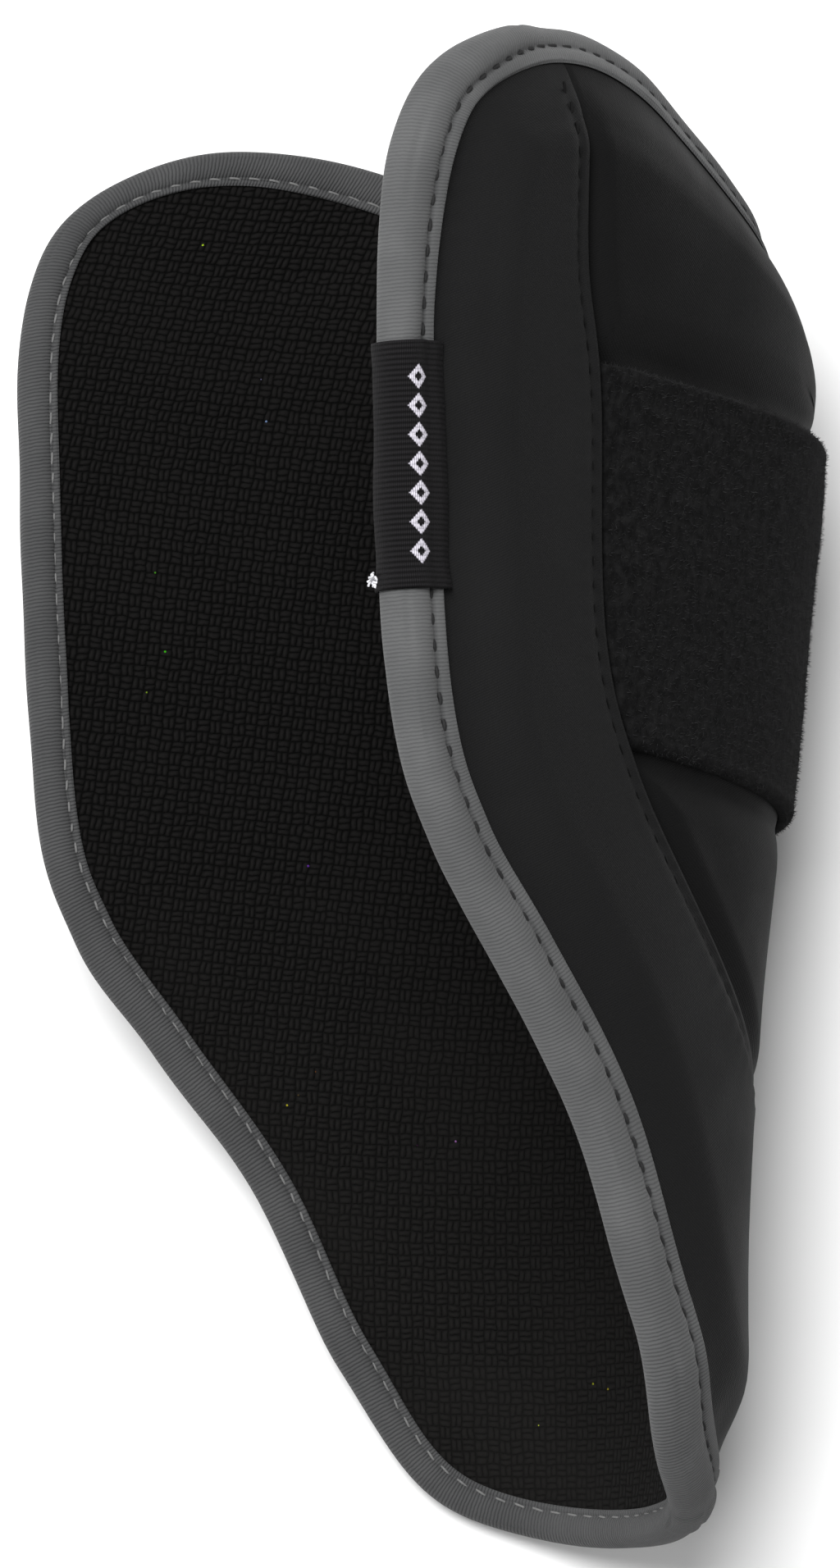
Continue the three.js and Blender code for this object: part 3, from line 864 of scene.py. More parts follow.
def lining_dent(places):
    """Shallow level creases where the lining has been folded."""
    depth = np.zeros(places.shape[:-1])
    for around, height, width, deep in CREASES:
        along = (places[..., 0] - around) / width
        across = places[..., 1] - height - 1.6 * np.sin(places[..., 0] / 6.0)
        depth += deep * np.exp(-along ** 2 - (across / 1.1) ** 2)
    return depth


def lining_patches():
    patches = []
    for places in (lining_panel, lining_flanks):
        inner = shell(places, lining_dent(places))
        outer = shell(places, LINER_THICKNESS)
        patches += [(inner, places), (outer, places)]
        patches.append(wall(inner[-1], outer[-1], places[-1]))
        if places is lining_flanks:
            patches.append(wall(inner[0], outer[0], places[0]))
            patches.append(wall(inner[:, 0], outer[:, 0], places[:, 0]))
    return patches


lining = sewn_mesh("knit_lining", lining_patches())

# %% Basketwork finish of the lining
WEAVE_CELL = 1.8
WEAVE_WANDER = 1.1
WEAVE_RELIEF = 0.00046
FLECK_STRENGTH = 0.35


def basketwork():
    finish = Finish("basket_knit", (0.006, 0.0056, 0.0053), 0.9, 0.06, sheen=0.01)
    flat, x, y = finish.flat()
    across = (x + (finish.noise(flat, 0.25) - 0.5) * WEAVE_WANDER) / WEAVE_CELL
    along = (y + (finish.noise(flat, 0.31) - 0.5) * WEAVE_WANDER) / WEAVE_CELL
    turned = finish.math("FLOORED_MODULO", finish.math("FLOOR", across) + finish.math("FLOOR", along), 2.0)
    upright, level = (
        finish.math("POWER", finish.wave(first, 0.5), 0.6)
        * finish.math("POWER", finish.wave(second, 1.0), 0.45)
        for first, second in ((across, along), (along, across))
    )
    strand = upright * (1.0 - turned) + level * turned
    worn = finish.ramp(finish.noise(flat, 0.035, 2.0), 0.42, 0.62, 1.0, 0.35)
    finish.relief(strand * worn, WEAVE_RELIEF)
    finish.relief(finish.noise(flat, 3.2, 4.0, 0.7), 0.00012)
    # Painted shade: the gaps between strands are coloured darker than the strand tops, and both grow darker
    # towards the rim, where the lining lies deep in the hollow.
    shade_towards_rim = finish.ramp(y, 35.0, 125.0)
    gap = finish.blend(shade_towards_rim, (0.0044, 0.0042, 0.0040), (0.0007, 0.0007, 0.0006))
    top = finish.blend(shade_towards_rim, (0.0078, 0.0074, 0.0071), (0.0066, 0.0062, 0.0061))
    lit = finish.blend(finish.ramp(strand, 0.15, 0.95), gap, top)
    distance, speck = finish.results("ShaderNodeTexVoronoi", Vector=flat, Scale=0.32)[:2]
    fleck = finish.ramp(distance, 0.045, 0.06, 1.0, 0.0) * FLECK_STRENGTH
    pale = finish.blend(fleck, lit, speck)
    finish.colour(finish.blend(finish.ramp(finish.noise(flat, 0.11, 1.0), 0.6, 0.62), lit, pale))
    return finish


dressed(lining, basketwork(), "liner")
print("basket cell:", WEAVE_CELL, "mm")

# %% [markdown]
# ## Two padded covers
# The side cover runs round both flanks and the foot, and the front panel fills the middle.
# Real ones are foam under a smooth stretch cloth, sewn flat at the binding and turned under at
# the seam. Each gets a short cloth simulation: a closed pad with a little pressure, held where
# it is sewn, shows how the cloth bellies between its seams. Its result is added to the fine
# mesh, where the turned edge and the line of topstitching are worked out from the distance to
# the seam.

# %% How a pad swells when it is sewn along its borders
PAD_STEPS = 20
PAD_EVERY = 4
PAD_PRESSURE = 3.0
PAD_CAP = 0.0009
PAD_SEWN = 3.0
PAD_KEPT = 2.5


def swell(low, high, held, pressure, cap):
    """Simulate a closed pad and return how far its outer face moves, in metres."""
    shape = high.shape[:2]
    count = shape[0] * shape[1]
    index = np.arange(count).reshape(shape)
    ring = np.concatenate([index[0], index[1:, -1], index[-1, -2::-1], index[-2:0:-1, 0]])
    after = np.roll(ring, -1)
    walls = np.stack([ring, after, after + count, ring + count], -1)
    outside = patch_quads(shape, 0)
    faces = np.concatenate([outside, outside[:, ::-1] + count, walls])
    mesh = plain_mesh("pad_trial", np.stack([high, low]), [], faces)
    reworked(mesh, turn_outwards)
    trial = linked("pad_trial", mesh)
    group = trial.vertex_groups.new(name="sewn")
    for number, weight in enumerate(held.ravel()):
        group.add([number], float(weight), "REPLACE")
    group.add(list(range(count, 2 * count)), 1.0, "REPLACE")
    cloth = trial.modifiers.new("pad", "CLOTH")
    settings = cloth.settings
    stiffness = {"tension_stiffness": 20, "compression_stiffness": 20, "bending_stiffness": 2.0}
    pushed = {"use_pressure": True, "uniform_pressure_force": pressure, "vertex_group_mass": "sewn"}
    for option, value in {"quality": 6, "mass": 0.3, **stiffness, **pushed}.items():
        setattr(settings, option, value)
    settings.effector_weights.gravity = 0
    scene = bpy.context.scene
    for step in range(1, PAD_STEPS + 1):
        scene.frame_set(step)
    settled = trial.evaluated_get(bpy.context.evaluated_depsgraph_get()).data
    moved = np.empty(count * 2 * 3)
    settled.vertices.foreach_get("co", moved)
    moved = moved.reshape(-1, 3)[:count].reshape(*shape, 3) - high
    bpy.data.objects.remove(trial)
    scene.frame_set(1)
    length = np.linalg.norm(moved, axis=-1, keepdims=True)
    moved *= np.minimum(1, cap / np.maximum(length, 1e-9))
    print("pad bellies by up to", round(float(length.max()) * 1000, 2), "mm, kept to", cap * 1000, "mm")
    return moved


print("simulation steps:", PAD_STEPS)

# %% From the simulated pad to the fine cover
def finer(moved, shape):
    """Spread the movement of a coarse grid over a finer one of the same outline."""
    rows = np.linspace(0, moved.shape[0] - 1, shape[0])
    columns = np.linspace(0, moved.shape[1] - 1, shape[1])
    row = np.minimum(rows.astype(int), moved.shape[0] - 2)
    column = np.minimum(columns.astype(int), moved.shape[1] - 2)
    r = (rows - row)[:, None, None]
    c = (columns - column)[None, :, None]
    above = mix(moved[row][:, column], moved[row][:, column + 1], c)
    below = mix(moved[row + 1][:, column], moved[row + 1][:, column + 1], c)
    return mix(above, below, r)


def border_hold(places, sewn):
    """1 where the cloth is sewn down, falling to 0 a little farther in."""
    nearest = np.minimum(edge_distance(places) - BINDING_WIDTH, seam_distance(places))
    return 1 - ease(nearest, sewn, sewn * 2.5)


def bellied(low, high, places, free=1.0):
    """The outer face of a pad after its swelling, with its border kept down."""
    coarse = (slice(None, None, PAD_EVERY), slice(None, None, PAD_EVERY))
    moved = swell(low[coarse], high[coarse], border_hold(places[coarse], PAD_SEWN), PAD_PRESSURE, PAD_CAP)
    share = (1 - border_hold(places, PAD_KEPT)) * free
    high = high + finer(moved, high.shape[:2]) * share[..., None]
    high[..., 2] = np.maximum(high[..., 2], 0)
    return high


print("one simulated row for every", PAD_EVERY, "rows")

# %% Relief of the side cover
SEAM_STITCH_INSET = 2.6
SEAM_STITCH_PITCH = 3.4
TURNED_EDGE = 0.6
TURNED_DEPTH = 1.3
TURNED_BULGE = 0.30
TURNED_BULGE_AT = (1.3, 0.8)
STITCH_LINE_WIDTH = 0.6
STITCH_SINK = 0.42
STITCH_PULL = 0.16
STITCH_SPREAD = 0.07
STITCH_SPREAD_AT = (SEAM_STITCH_INSET + 2.2, 2.0)
COVER_WAVE = {"size": 34.0, "seed": 3}
COVER_WAVE_HEIGHT = 0.16
COVER_WAVE_FADE = (3, 12)
PUCKER_PITCH = 4.6
PUCKER_HEIGHT = 0.06
PUCKER_AT = (10.5, 2.4)


def turned_under(from_seam, radius):
    """How far the turned edge of a cover has gone down, from 0 to 1 at the seam."""
    share = 1 - np.clip(from_seam / radius, 0, 1)
    return 1 - np.sqrt(1 - 0.999 * share ** 2)


def ripple(places, size, seed):
    """Slow uneven waves of about unit height, the same on every run."""
    random = np.random.default_rng(seed)
    total = np.zeros(places.shape[:-1])
    for _ in range(7):
        way = random.uniform(0, 2 * math.pi)
        wave = size * random.uniform(0.7, 1.6)
        along = places[..., 0] * math.cos(way) + places[..., 1] * math.sin(way)
        total += np.sin(along * 2 * math.pi / wave + random.uniform(0, 2 * math.pi))
    return total / 3.5


def side_rise(places, marks):
    inset = edge_distance(places)
    from_seam = seam_distance(places)
    dip = SIDE_SEAM_DIP * (1 - ease(from_seam, 0, SEAM_ROLL))
    full = mix(TIP_PADDING, SIDE_PADDING, ease(places[..., 1], 0, TIP_PADDING_HEIGHT))
    rise = pressed_rise(inset) + padding(inset) * (full - EDGE_THICKNESS - dip)
    inland = padding(inset)
    rise -= inland * TURNED_DEPTH * turned_under(from_seam, TURNED_EDGE)
    rise += inland * TURNED_BULGE * hump(from_seam, *TURNED_BULGE_AT)
    pull = beat(marks[:, None], SEAM_STITCH_PITCH)
    line = hump(from_seam, SEAM_STITCH_INSET, STITCH_LINE_WIDTH)
    rise -= inland * line * (STITCH_SINK + STITCH_PULL * pull)
    rise += inland * hump(from_seam, *STITCH_SPREAD_AT) * STITCH_SPREAD * pull
    rise += inland * ease(from_seam, *COVER_WAVE_FADE) * COVER_WAVE_HEIGHT * ripple(places, **COVER_WAVE)
    return rise + PUCKER_HEIGHT * beat(marks[:, None], PUCKER_PITCH) * hump(inset, *PUCKER_AT)


COVER_MARKS = np.linspace(0, SEAM_LENGTH, 193)
COVER_SHARES = np.linspace(0, 1, 49)
COVER_CROWDING = 0.92
both_marks = np.concatenate([COVER_MARKS[:0:-1], COVER_MARKS])
side_places = tucked(flat_strips(COVER_MARKS, COVER_SHARES ** COVER_CROWDING))
side_low = shell(side_places, LINER_THICKNESS + CLEARANCE)
side_high = shell(side_places, side_rise(side_places, both_marks))
print("side cover grid:", side_places.shape[:2])

# %% Side cover
side_high = bellied(side_low, side_high, side_places)
side_cover = closed_mesh("padded_side_cover", side_low, side_high, side_places)

# %% Relief of the front panel
PANEL_ROLL = 0.8
PANEL_ROLL_DEPTH = 1.5
PINCH_AT = (1.6, 1.3)
PINCH_DEPTH = 0.35
PINCH_UNEVEN = 0.2
PINCH_WAVE = {"size": 16.0, "seed": 5}
PANEL_WAVE = {"size": 30.0, "seed": 8}
PANEL_WAVE_HEIGHT = 0.18
CROWN_SHOULDER = 9.0
CROWN_SHOULDER_FADE = (35.0, 95.0)


def strap_depth(places):
    """How far inside the strap's long edges a place lies, below 0 outside them."""
    return np.minimum(places[..., 1] - STRAP_LOW, STRAP_HIGH - places[..., 1])


def strap_tuck(from_seam):
    """The ends of the strap go down into the seam."""
    return STRAP_TUCK * (1 - ease(from_seam, 0, STRAP_TUCK_FADE))


def front_rise(places, fine=True):
    inset = edge_distance(places)
    shoulder = mix(CROWN_SHOULDER, PAD_SHOULDER, ease(np.abs(places[..., 0]), *CROWN_SHOULDER_FADE))
    inland = padding(inset, shoulder)
    from_seam = seam_distance(places)
    dip = FRONT_SEAM_DIP * (1 - ease(from_seam, 0, SEAM_ROLL))
    outside = np.maximum(-strap_depth(places), 0)
    to_side = ease(np.abs(places[..., 0]), 0, CROWN_RADIUS * 2.2)
    sink = mix(STRAP_SINK_AT_CROWN, STRAP_SINK_AT_SEAM, to_side)
    under = 1 - ease(outside, 0, STRAP_SINK_FADE)
    rise = pressed_rise(inset)
    rise = rise + inland * (FRONT_PADDING - EDGE_THICKNESS - np.maximum(dip, sink * under))
    rise -= inland * strap_tuck(from_seam) * (1 - ease(outside, 0, 2))
    if not fine:
        return rise
    rise -= inland * PANEL_ROLL_DEPTH * turned_under(from_seam, PANEL_ROLL)
    pinch = hump(outside, *PINCH_AT) * (outside > 0)
    rise -= inland * pinch * (PINCH_DEPTH + PINCH_UNEVEN * ripple(places, **PINCH_WAVE))
    loose = ease(outside, 2, 10) * ease(from_seam, 2, 9)
    return rise + inland * loose * PANEL_WAVE_HEIGHT * ripple(places, **PANEL_WAVE)


PANEL_SHARES = np.linspace(-1, 1, 121)
PANEL_CROWDING = 0.9
PANEL_FIRST_MARK = 0.35
panel_shares = np.sign(PANEL_SHARES) * np.abs(PANEL_SHARES) ** PANEL_CROWDING
panel_marks = COVER_MARKS.copy()
panel_marks[0] = PANEL_FIRST_MARK
panel_places = tucked(flat_rows(panel_marks, panel_shares, CLEARANCE))
panel_low = shell(panel_places, LINER_THICKNESS + CLEARANCE)
panel_high = shell(panel_places, front_rise(panel_places))
print("front panel grid:", panel_places.shape[:2])

# %% Front panel
beside_strap = ease(np.maximum(-strap_depth(panel_places), 0), 2, 9)
panel_high = bellied(panel_low, panel_high, panel_places, beside_strap)
front_panel = closed_mesh("padded_front_panel", panel_low, panel_high, panel_places)

# %% [markdown]
# Both covers are a smooth stretch knit, painted a little darker as shade on the side cover and
# more on the panel, which turns away from the lamps. The knit's loops are about half a millimetre, so
# they only break up the highlight. Slow cloudy changes of tone keep it from looking like rubber.

# %% Smooth stretch cloth
LOOP_PITCHES = (0.62, 0.42)


def stretch_cloth(name, depth):
    finish = Finish(name, (0.011, 0.011, 0.0113), 0.6, 0.04)
    flat, x, y = finish.flat()
    rib, loop = (
        finish.math("SINE", value * (2 * math.pi / pitch)) for value, pitch in zip((x, y), LOOP_PITCHES)
    )
    finish.relief(rib * loop, 0.000025)
    finish.relief(finish.noise(flat, 1.6, 5.0, 0.65), 0.00009)
    cloud = finish.noise(flat, 0.045, 3.0)
    dust = finish.noise(flat, 0.9, 6.0, 0.8)
    base = finish.blend(cloud, (0.0085, 0.0085, 0.0087), (0.0125, 0.0125, 0.0127))
    dusty = finish.blend(finish.ramp(dust, 0.55, 0.8, 0.0, 0.3), base, (0.020, 0.020, 0.0205))
    # Painted shade: the colour is blended towards near black by the depth share, a little on the side cover
    # and more on the panel.
    finish.colour(finish.blend(depth, dusty, (0.002, 0.002, 0.002)))
    finish.feed(finish.shader["Roughness"], finish.ramp(cloud, 0.3, 0.7, 0.56, 0.68))
    return finish


dressed(side_cover, stretch_cloth("smooth_side_cloth", 0.08), "side_cover")
dressed(front_panel, stretch_cloth("smooth_panel_cloth", 0.55), "front_panel")
print("padded pieces:", side_cover.name, front_panel.name)

# %% [markdown]
# ## The elastic strap
# A wide brushed elastic crosses the front panel from seam to seam and pins the padding down.
# Its ends are caught in the seams, its long edges are woven selvedges that roll a little, and
# its face is brushed to a short nap. It is one band with a rounded edge, so it is modelled
# directly on the panel's own surface instead of being simulated.

# %% Strap mesh
STRAP_GAP = 0.12
STRAP_EDGE = 0.02
SELVEDGE_ROUNDING = 1.0
SELVEDGE_BEAD = 0.22
SELVEDGE_BEAD_AT = (1.4, 0.8)

strap_drops = np.concatenate([[0.0, 0.08, 0.25, 0.5, 0.8, 1.2, 1.8], np.linspace(2.6, STRAP_WIDTH / 2, 24)])
strap_heights = np.concatenate([STRAP_LOW + strap_drops, STRAP_HIGH - strap_drops[-2::-1]])
strap_marks = np.interp(strap_heights, SEAM_LINE[:, 1], marks_of(SEAM_LINE))
STRAP_SHARES = np.linspace(-1, 1, 241)
strap_places = flat_rows(strap_marks, STRAP_SHARES, CLEARANCE)


def strap_outer(places):
    """Rise of the brushed face over the underside, rounded at both long edges."""
    to_edge = strap_depth(places)
    open_share = 1 - np.clip(to_edge / SELVEDGE_ROUNDING, 0, 1)
    body = STRAP_EDGE + STRAP_THICKNESS * np.sqrt(np.maximum(1 - open_share ** 2, 0.0))
    bead = SELVEDGE_BEAD * hump(to_edge, *SELVEDGE_BEAD_AT)
    weave = 0.05 * ripple(places, 9.0, 21) + 0.08 * ripple(places, 26.0, 22)
    return body + (bead + weave) * ease(to_edge, 0, 1.5)


strap_under = front_rise(strap_places, fine=False) + STRAP_GAP
strap_low = shell(strap_places, strap_under)
strap_high = shell(strap_places, strap_under + strap_outer(strap_places))
strap_high[..., 2] = np.maximum(strap_high[..., 2], 0)
strap = closed_mesh("brushed_elastic_strap", strap_low, strap_high, strap_places)

# %% Brushed elastic finish
def brushed_elastic():
    finish = Finish("brushed_elastic", (0.006, 0.006, 0.0062), 0.95, 0.04, sheen=0.01)
    flat, _, y = finish.flat()
    felted = finish.noise(flat, 0.8, 5.0, 0.65, (1.0, 0.7, 1.0))
    mottle = finish.noise(flat, 0.35, 4.0, 0.7)
    finish.relief(finish.math("SINE", y * (2 * math.pi / 1.6)), 0.00005, 0.6)
    finish.relief(felted, 0.00035)
    # Painted highlight: the raised felt is coloured paler than its hollows, following the relief; the
    # mottle between the dark and pale copies is the strap's own tone.
    raised = finish.ramp(felted, 0.35, 0.7)
    dark = finish.blend(raised, (0.0032, 0.0032, 0.0033), (0.0078, 0.0078, 0.0080))
    pale = finish.blend(raised, (0.0044, 0.0044, 0.0045), (0.0108, 0.0108, 0.0110))
    finish.colour(finish.blend(finish.ramp(mottle, 0.35, 0.65), dark, pale))
    return finish


dressed(strap, brushed_elastic(), "elastic_strap")

# %% [markdown]
# ## The bound edge
# A ribbed tape is folded over the raw edge all the way round. On the cover side it shows a soft
# rounded band, a sunk line of stitching and a thin flat flange. On the arm side the roll is
# tighter, and behind its stitching only a narrow lip is left. One cross-section, drawn as
# inset from the edge and rise from the arm side, is carried round the whole edge.

# %% Section of the bound edge
OUTER_LINE = (
    (7.55, 0.10), (7.62, 0.38), (7.45, 0.60), (7.0, 0.68), (6.5, 0.66), (6.0, 0.58), (5.55, 0.42),
    (5.25, 0.30), (4.95, 0.42), (4.5, 0.74), (3.9, 1.00), (3.1, 1.12), (2.3, 1.05), (1.6, 0.80),
)
FOLD_LINE = (
    (0.75, 4.00), (0.20, 3.20), (-0.05, 2.20), (-0.05, 1.20), (0.25, 0.30), (0.85, -0.40),
    (1.60, -0.85), (2.50, -1.02), (3.30, -0.95), (3.85, -0.75), (4.15, -0.52), (4.40, -0.48),
    (4.65, -0.60), (4.95, -0.68), (5.20, -0.62), (5.35, -0.42), (5.25, -0.20),
)
HIDDEN_LINE = ((3.8, -0.18), (2.4, -0.18), (1.55, -0.08))
TAPE_STEP = 1.2
SECTION_STEPS = 3
INNER_STITCH_AT = (4.28, -0.46)
OUTER_STITCH_AT = (5.25, 0.32)


def section_points():
    outer = [(inset, float(pressed_rise(inset)) + lift) for inset, lift in OUTER_LINE]
    back = [(inset, float(pressed_rise(inset)) + 0.06) for inset in (1.6, 4.2)]
    points = np.array(outer + list(FOLD_LINE) + list(HIDDEN_LINE) + back)
    return catmull_rom(points, True, SECTION_STEPS)


def edge_stations(step):
    """Even places round the whole edge, with the way in from each and its mark."""
    total = marks_of(CLOSED_EDGE)[-1]
    count = int(round(total / step))
    marks = np.arange(count) * total / count
    places = read_line(CLOSED_EDGE, marks)
    along = unit(np.roll(places, -1, axis=0) - np.roll(places, 1, axis=0))
    return places, -square_to(along), marks, total


tape_places, tape_inward, tape_marks, TAPE_RUN = edge_stations(TAPE_STEP)
print("edge of the pattern:", round(TAPE_RUN, 1), "mm, stations:", len(tape_marks))

# %% [markdown]
# A swept tape looks machine-made if every ring is the same. Slow changes of its thickness, more
# width near the tip, a slight pull at each stitch and one overlap where the two ends of the tape
# meet give it the look of work done by hand on a sewing machine.

# %% Bound edge mesh
TAPE_OVERLAP_AT = 0.475
TAPE_OVERLAP = 9.0
TAPE_OVERLAP_THICKNESS = 0.35
TAPE_WAVES = ((0.10, 61, 0), (0.07, 23, 1))
TAPE_HEART = (3.4, EDGE_THICKNESS / 2)
OUTER_PITCH = 3.7
INNER_PITCH = 3.1
OUTER_PULL = 0.12
INNER_PULL = 0.14
TIP_WIDENING = 0.17


def tape_widening(places):
    """How much wider the tape is near the tip of the labelled flank."""
    near = ease(places[..., 0], 20, 40) * (1 - ease(places[..., 1], 48, 92))
    return 1 + TIP_WIDENING * near


def tape_swell(marks):
    """Extra thickness of the tape along the edge, in millimetres."""
    slow = sum(high * np.sin(marks * 2 * math.pi / long + start) for high, long, start in TAPE_WAVES)
    near_end = np.abs(marks / TAPE_RUN - TAPE_OVERLAP_AT) * TAPE_RUN
    ends = 1 - ease(near_end, TAPE_OVERLAP / 2 - 1.2, TAPE_OVERLAP / 2 + 1.2)
    return slow + TAPE_OVERLAP_THICKNESS * ends


def bound_edge():
    section = section_points()
    away = unit(section - np.array(TAPE_HEART))
    inset, rise = section.T
    outside = (inset < 7.3) & ((rise > 4.7) | (rise < -0.5) | (inset < 0.8))
    grow = tape_swell(tape_marks)[:, None] * outside
    at_outer = hump(inset, OUTER_STITCH_AT[0], 0.6) * (rise > 3)
    at_inner = hump(inset, INNER_STITCH_AT[0], 0.45) * (rise < 0)
    grow = grow - OUTER_PULL * beat(tape_marks, OUTER_PITCH)[:, None] * at_outer
    grow = grow - INNER_PULL * beat(tape_marks, INNER_PITCH)[:, None] * at_inner
    local = section[None] + away[None] * grow[..., None]
    local[..., 0] *= tape_widening(tape_places)[:, None]
    places = tape_places[:, None] + tape_inward[:, None] * local[..., :1]
    points = shell(places, local[..., 1])
    run = marks_of(section)
    along = np.broadcast_to(tape_marks[:, None], points.shape[:2])
    flat = np.stack([along, np.broadcast_to(run, points.shape[:2])], -1)
    points = np.concatenate([points, points[:1]])
    flat = np.concatenate([flat, flat[:1] + (TAPE_RUN, 0)])
    around_end = run[-1] + np.linalg.norm(section[0] - section[-1])
    points = np.concatenate([points, points[:, :1]], 1)
    last = np.stack([flat[:, 0, 0], np.full(len(flat), around_end)], -1)[:, None]
    flat = np.concatenate([flat, last], 1)
    groove = (OUTER_STITCH_AT[0], float(pressed_rise(OUTER_STITCH_AT[0])) + OUTER_STITCH_AT[1])
    groove_run = float(run[np.argmin(np.linalg.norm(section - groove, axis=1))])
    return sewn_mesh("bound_edge_tape", [(points, flat)]), float(around_end), groove_run


edge_tape, TAPE_AROUND, GROOVE_AT = bound_edge()
print("round the tape's section:", round(TAPE_AROUND, 1), "mm, stitched at", round(GROOVE_AT, 1))

# %% [markdown]
# The tape is woven with fine ribs across it, about two to the millimetre. The ribs are relief
# worked out from the mark along the edge, with painted highlight on top and painted shade between.
# They are crisp on the flank that lies low and fainter on the one above it. Painted shade darkens that low
# flank and the sunk line of stitching.

# %% Ribbed tape finish
RIB_PITCH = 0.56


def ribbed_tape():
    finish = Finish("ribbed_tape", (0.12, 0.12, 0.122), 0.85, 0.15, sheen=0.08)
    flat, along, across = finish.flat()
    height = finish.results("ShaderNodeSeparateXYZ", Vector=finish.place())[2]
    crisp = finish.ramp(height, 0.035, 0.085, 1.0, 0.45)
    rib = finish.wave(along + (finish.noise(flat, 0.8) - 0.5) * 0.35, RIB_PITCH) * crisp
    finish.relief(rib, 0.00013)
    finish.relief(finish.noise(flat, 5.0, 3.0, 0.6, (2.2, 0.5, 1.0)), 0.00005)
    # Painted highlight and shade: each rib is coloured bright on top and dark between, following its
    # relief.
    ridge = finish.ramp(rib, 0.0, 0.9)
    dull = finish.blend(ridge, (0.062, 0.063, 0.064), (0.104, 0.105, 0.106))
    fresh = finish.blend(ridge, (0.078, 0.079, 0.080), (0.124, 0.125, 0.126))
    # Painted shade: the sunk line of stitching and the flank lying low on the table are coloured darker.
    groove_shade = finish.ramp(abs(across - GROOVE_AT), 0.1, 0.8, 0.70, 1.0)
    shaded = groove_shade * finish.ramp(height, 0.035, 0.085, 0.50, 1.0)
    lit = finish.blend(finish.ramp(finish.noise(flat, 0.09, 3.0), 0.3, 0.7), dull, fresh)
    finish.colour(finish.blend(shaded, (0.0, 0.0, 0.001), lit))
    return finish


dressed(edge_tape, ribbed_tape(), "edge_binding")
print("rib pitch:", RIB_PITCH, "mm")

# %% [markdown]
# ## Stitches
# A lockstitch shows as one short bowed thread after another, with its ends diving into the
# cloth. All the rows on the guard are the same job: a path, a pitch and a thread. So Geometry
# Nodes do it once. The tree spaces points along the path, bends one stitch from a curve and a
# small round profile, turns it to the path and the cloth, and varies each a little.

# %% What both Geometry Nodes trees need
def new_graph(name, **inputs):
    """A Geometry Nodes tree, and what each of its named inputs gives."""
    tree = bpy.data.node_groups.new(name, "GeometryNodeTree")
    tree.interface.new_socket(name="Geometry", in_out="OUTPUT", socket_type="NodeSocketGeometry")
    kinds = {"Geometry": "Geometry", "Seed": "Int", "Thread": "Material", "Fibre": "Material"}
    for label, value in {"Geometry": None, **inputs}.items():
        kind = "NodeSocket" + kinds.get(label, "Float")
        socket = tree.interface.new_socket(name=label.replace("_", " "), in_out="INPUT", socket_type=kind)
        if value is not None:
            socket.default_value = value
    graph = Graph(tree)
    take = {wire.socket.name: wire for wire in graph.results("NodeGroupInput")}
    return graph, take


def finish_graph(graph, geometry, material):
    real = graph.get("GeometryNodeRealizeInstances", Geometry=geometry)
    finished = graph.get("GeometryNodeSetMaterial", Geometry=real, Material=material)
    graph.feed(graph.tree.nodes.new("NodeGroupOutput").inputs[0], finished)
    return graph.tree


def drawn(graph, kind, low, high, seed):
    return graph.get("FunctionNodeRandomValue", {"data_type": kind}, Min=low, Max=high, Seed=seed)


def spread(graph, points, shape, turn, size):
    return graph.get(
        "GeometryNodeInstanceOnPoints", Points=points, Instance=shape, Rotation=turn, Scale=size,
    )


print("ready to write trees")

# %% Geometry Nodes tree for a row of stitches
def stitch_row_tree():
    graph, take = new_graph(
        "stitch_row", Pitch=0.0034, Stitch_Length=0.0024, Thread_Width=0.0005, Dive=0.0003,
        Slant=0.0, Seed=7, Thread=None,
    )
    half, dive = take["Stitch Length"] * 0.5, take["Dive"]
    start, middle, end = (
        graph.get("ShaderNodeCombineXYZ", X=x, Z=z)
        for x, z in ((half * -1.0, dive * -1.0), (0.0, dive * 1.3), (half, dive * -1.0))
    )
    bow = graph.get("GeometryNodeCurveQuadraticBezier", Resolution=6, Start=start, Middle=middle, End=end)
    profile = graph.get("GeometryNodeCurvePrimitiveCircle", Resolution=6, Radius=take["Thread Width"] * 0.5)
    stitch = graph.get("GeometryNodeCurveToMesh", Curve=bow, Profile_Curve=profile, Fill_Caps=True)
    path = graph.get("GeometryNodeMeshToCurve", Mesh=take["Geometry"])
    spaced = graph.get("GeometryNodeResampleCurve", {"mode": "LENGTH"}, Curve=path, Length=take["Pitch"])
    facing = graph.get("GeometryNodeInputNamedAttribute", {"data_type": "FLOAT_VECTOR"}, Name="face_way")
    turn = graph.get(
        "FunctionNodeAxesToRotation", {"primary_axis": "Z", "secondary_axis": "X"},
        Primary_Axis=facing, Secondary_Axis=graph.get("GeometryNodeInputTangent"),
    )
    slant = take["Slant"] + drawn(graph, "FLOAT", -0.07, 0.07, take["Seed"])
    leaning = graph.get("FunctionNodeEulerToRotation", Euler=graph.get("ShaderNodeCombineXYZ", Z=slant))
    turn = graph.get(
        "FunctionNodeRotateRotation", {"rotation_space": "LOCAL"}, Rotation=turn, Rotate_By=leaning,
    )
    length = drawn(graph, "FLOAT", 0.92, 1.06, take["Seed"])
    size = graph.get("ShaderNodeCombineXYZ", X=length, Y=1.0, Z=1.0)
    placed = spread(graph, spaced, stitch, turn, size)
    return finish_graph(graph, graph.get("GeometryNodeSetShadeSmooth", Geometry=placed), take["Thread"])


stitch_tree = stitch_row_tree()
print("tree:", stitch_tree.name, "nodes:", len(stitch_tree.nodes))

# %% From a path to a row of stitches
def path_object(name, points, facing, closed):
    """A line of points whose face_way says which way the cloth faces."""
    count = len(points)
    links = [(i, i + 1) for i in range(count - 1)]
    if closed:
        links.append((count - 1, 0))
    mesh = plain_mesh(name, points, links, [])
    way = mesh.attributes.new("face_way", "FLOAT_VECTOR", "POINT")
    way.data.foreach_set("vector", facing.astype(np.float32).ravel())
    return linked(name, mesh)


def shape_of(holder):
    """What an object has become, as a plain mesh."""
    graph = bpy.context.evaluated_depsgraph_get()
    return bpy.data.meshes.new_from_object(holder.evaluated_get(graph), depsgraph=graph)


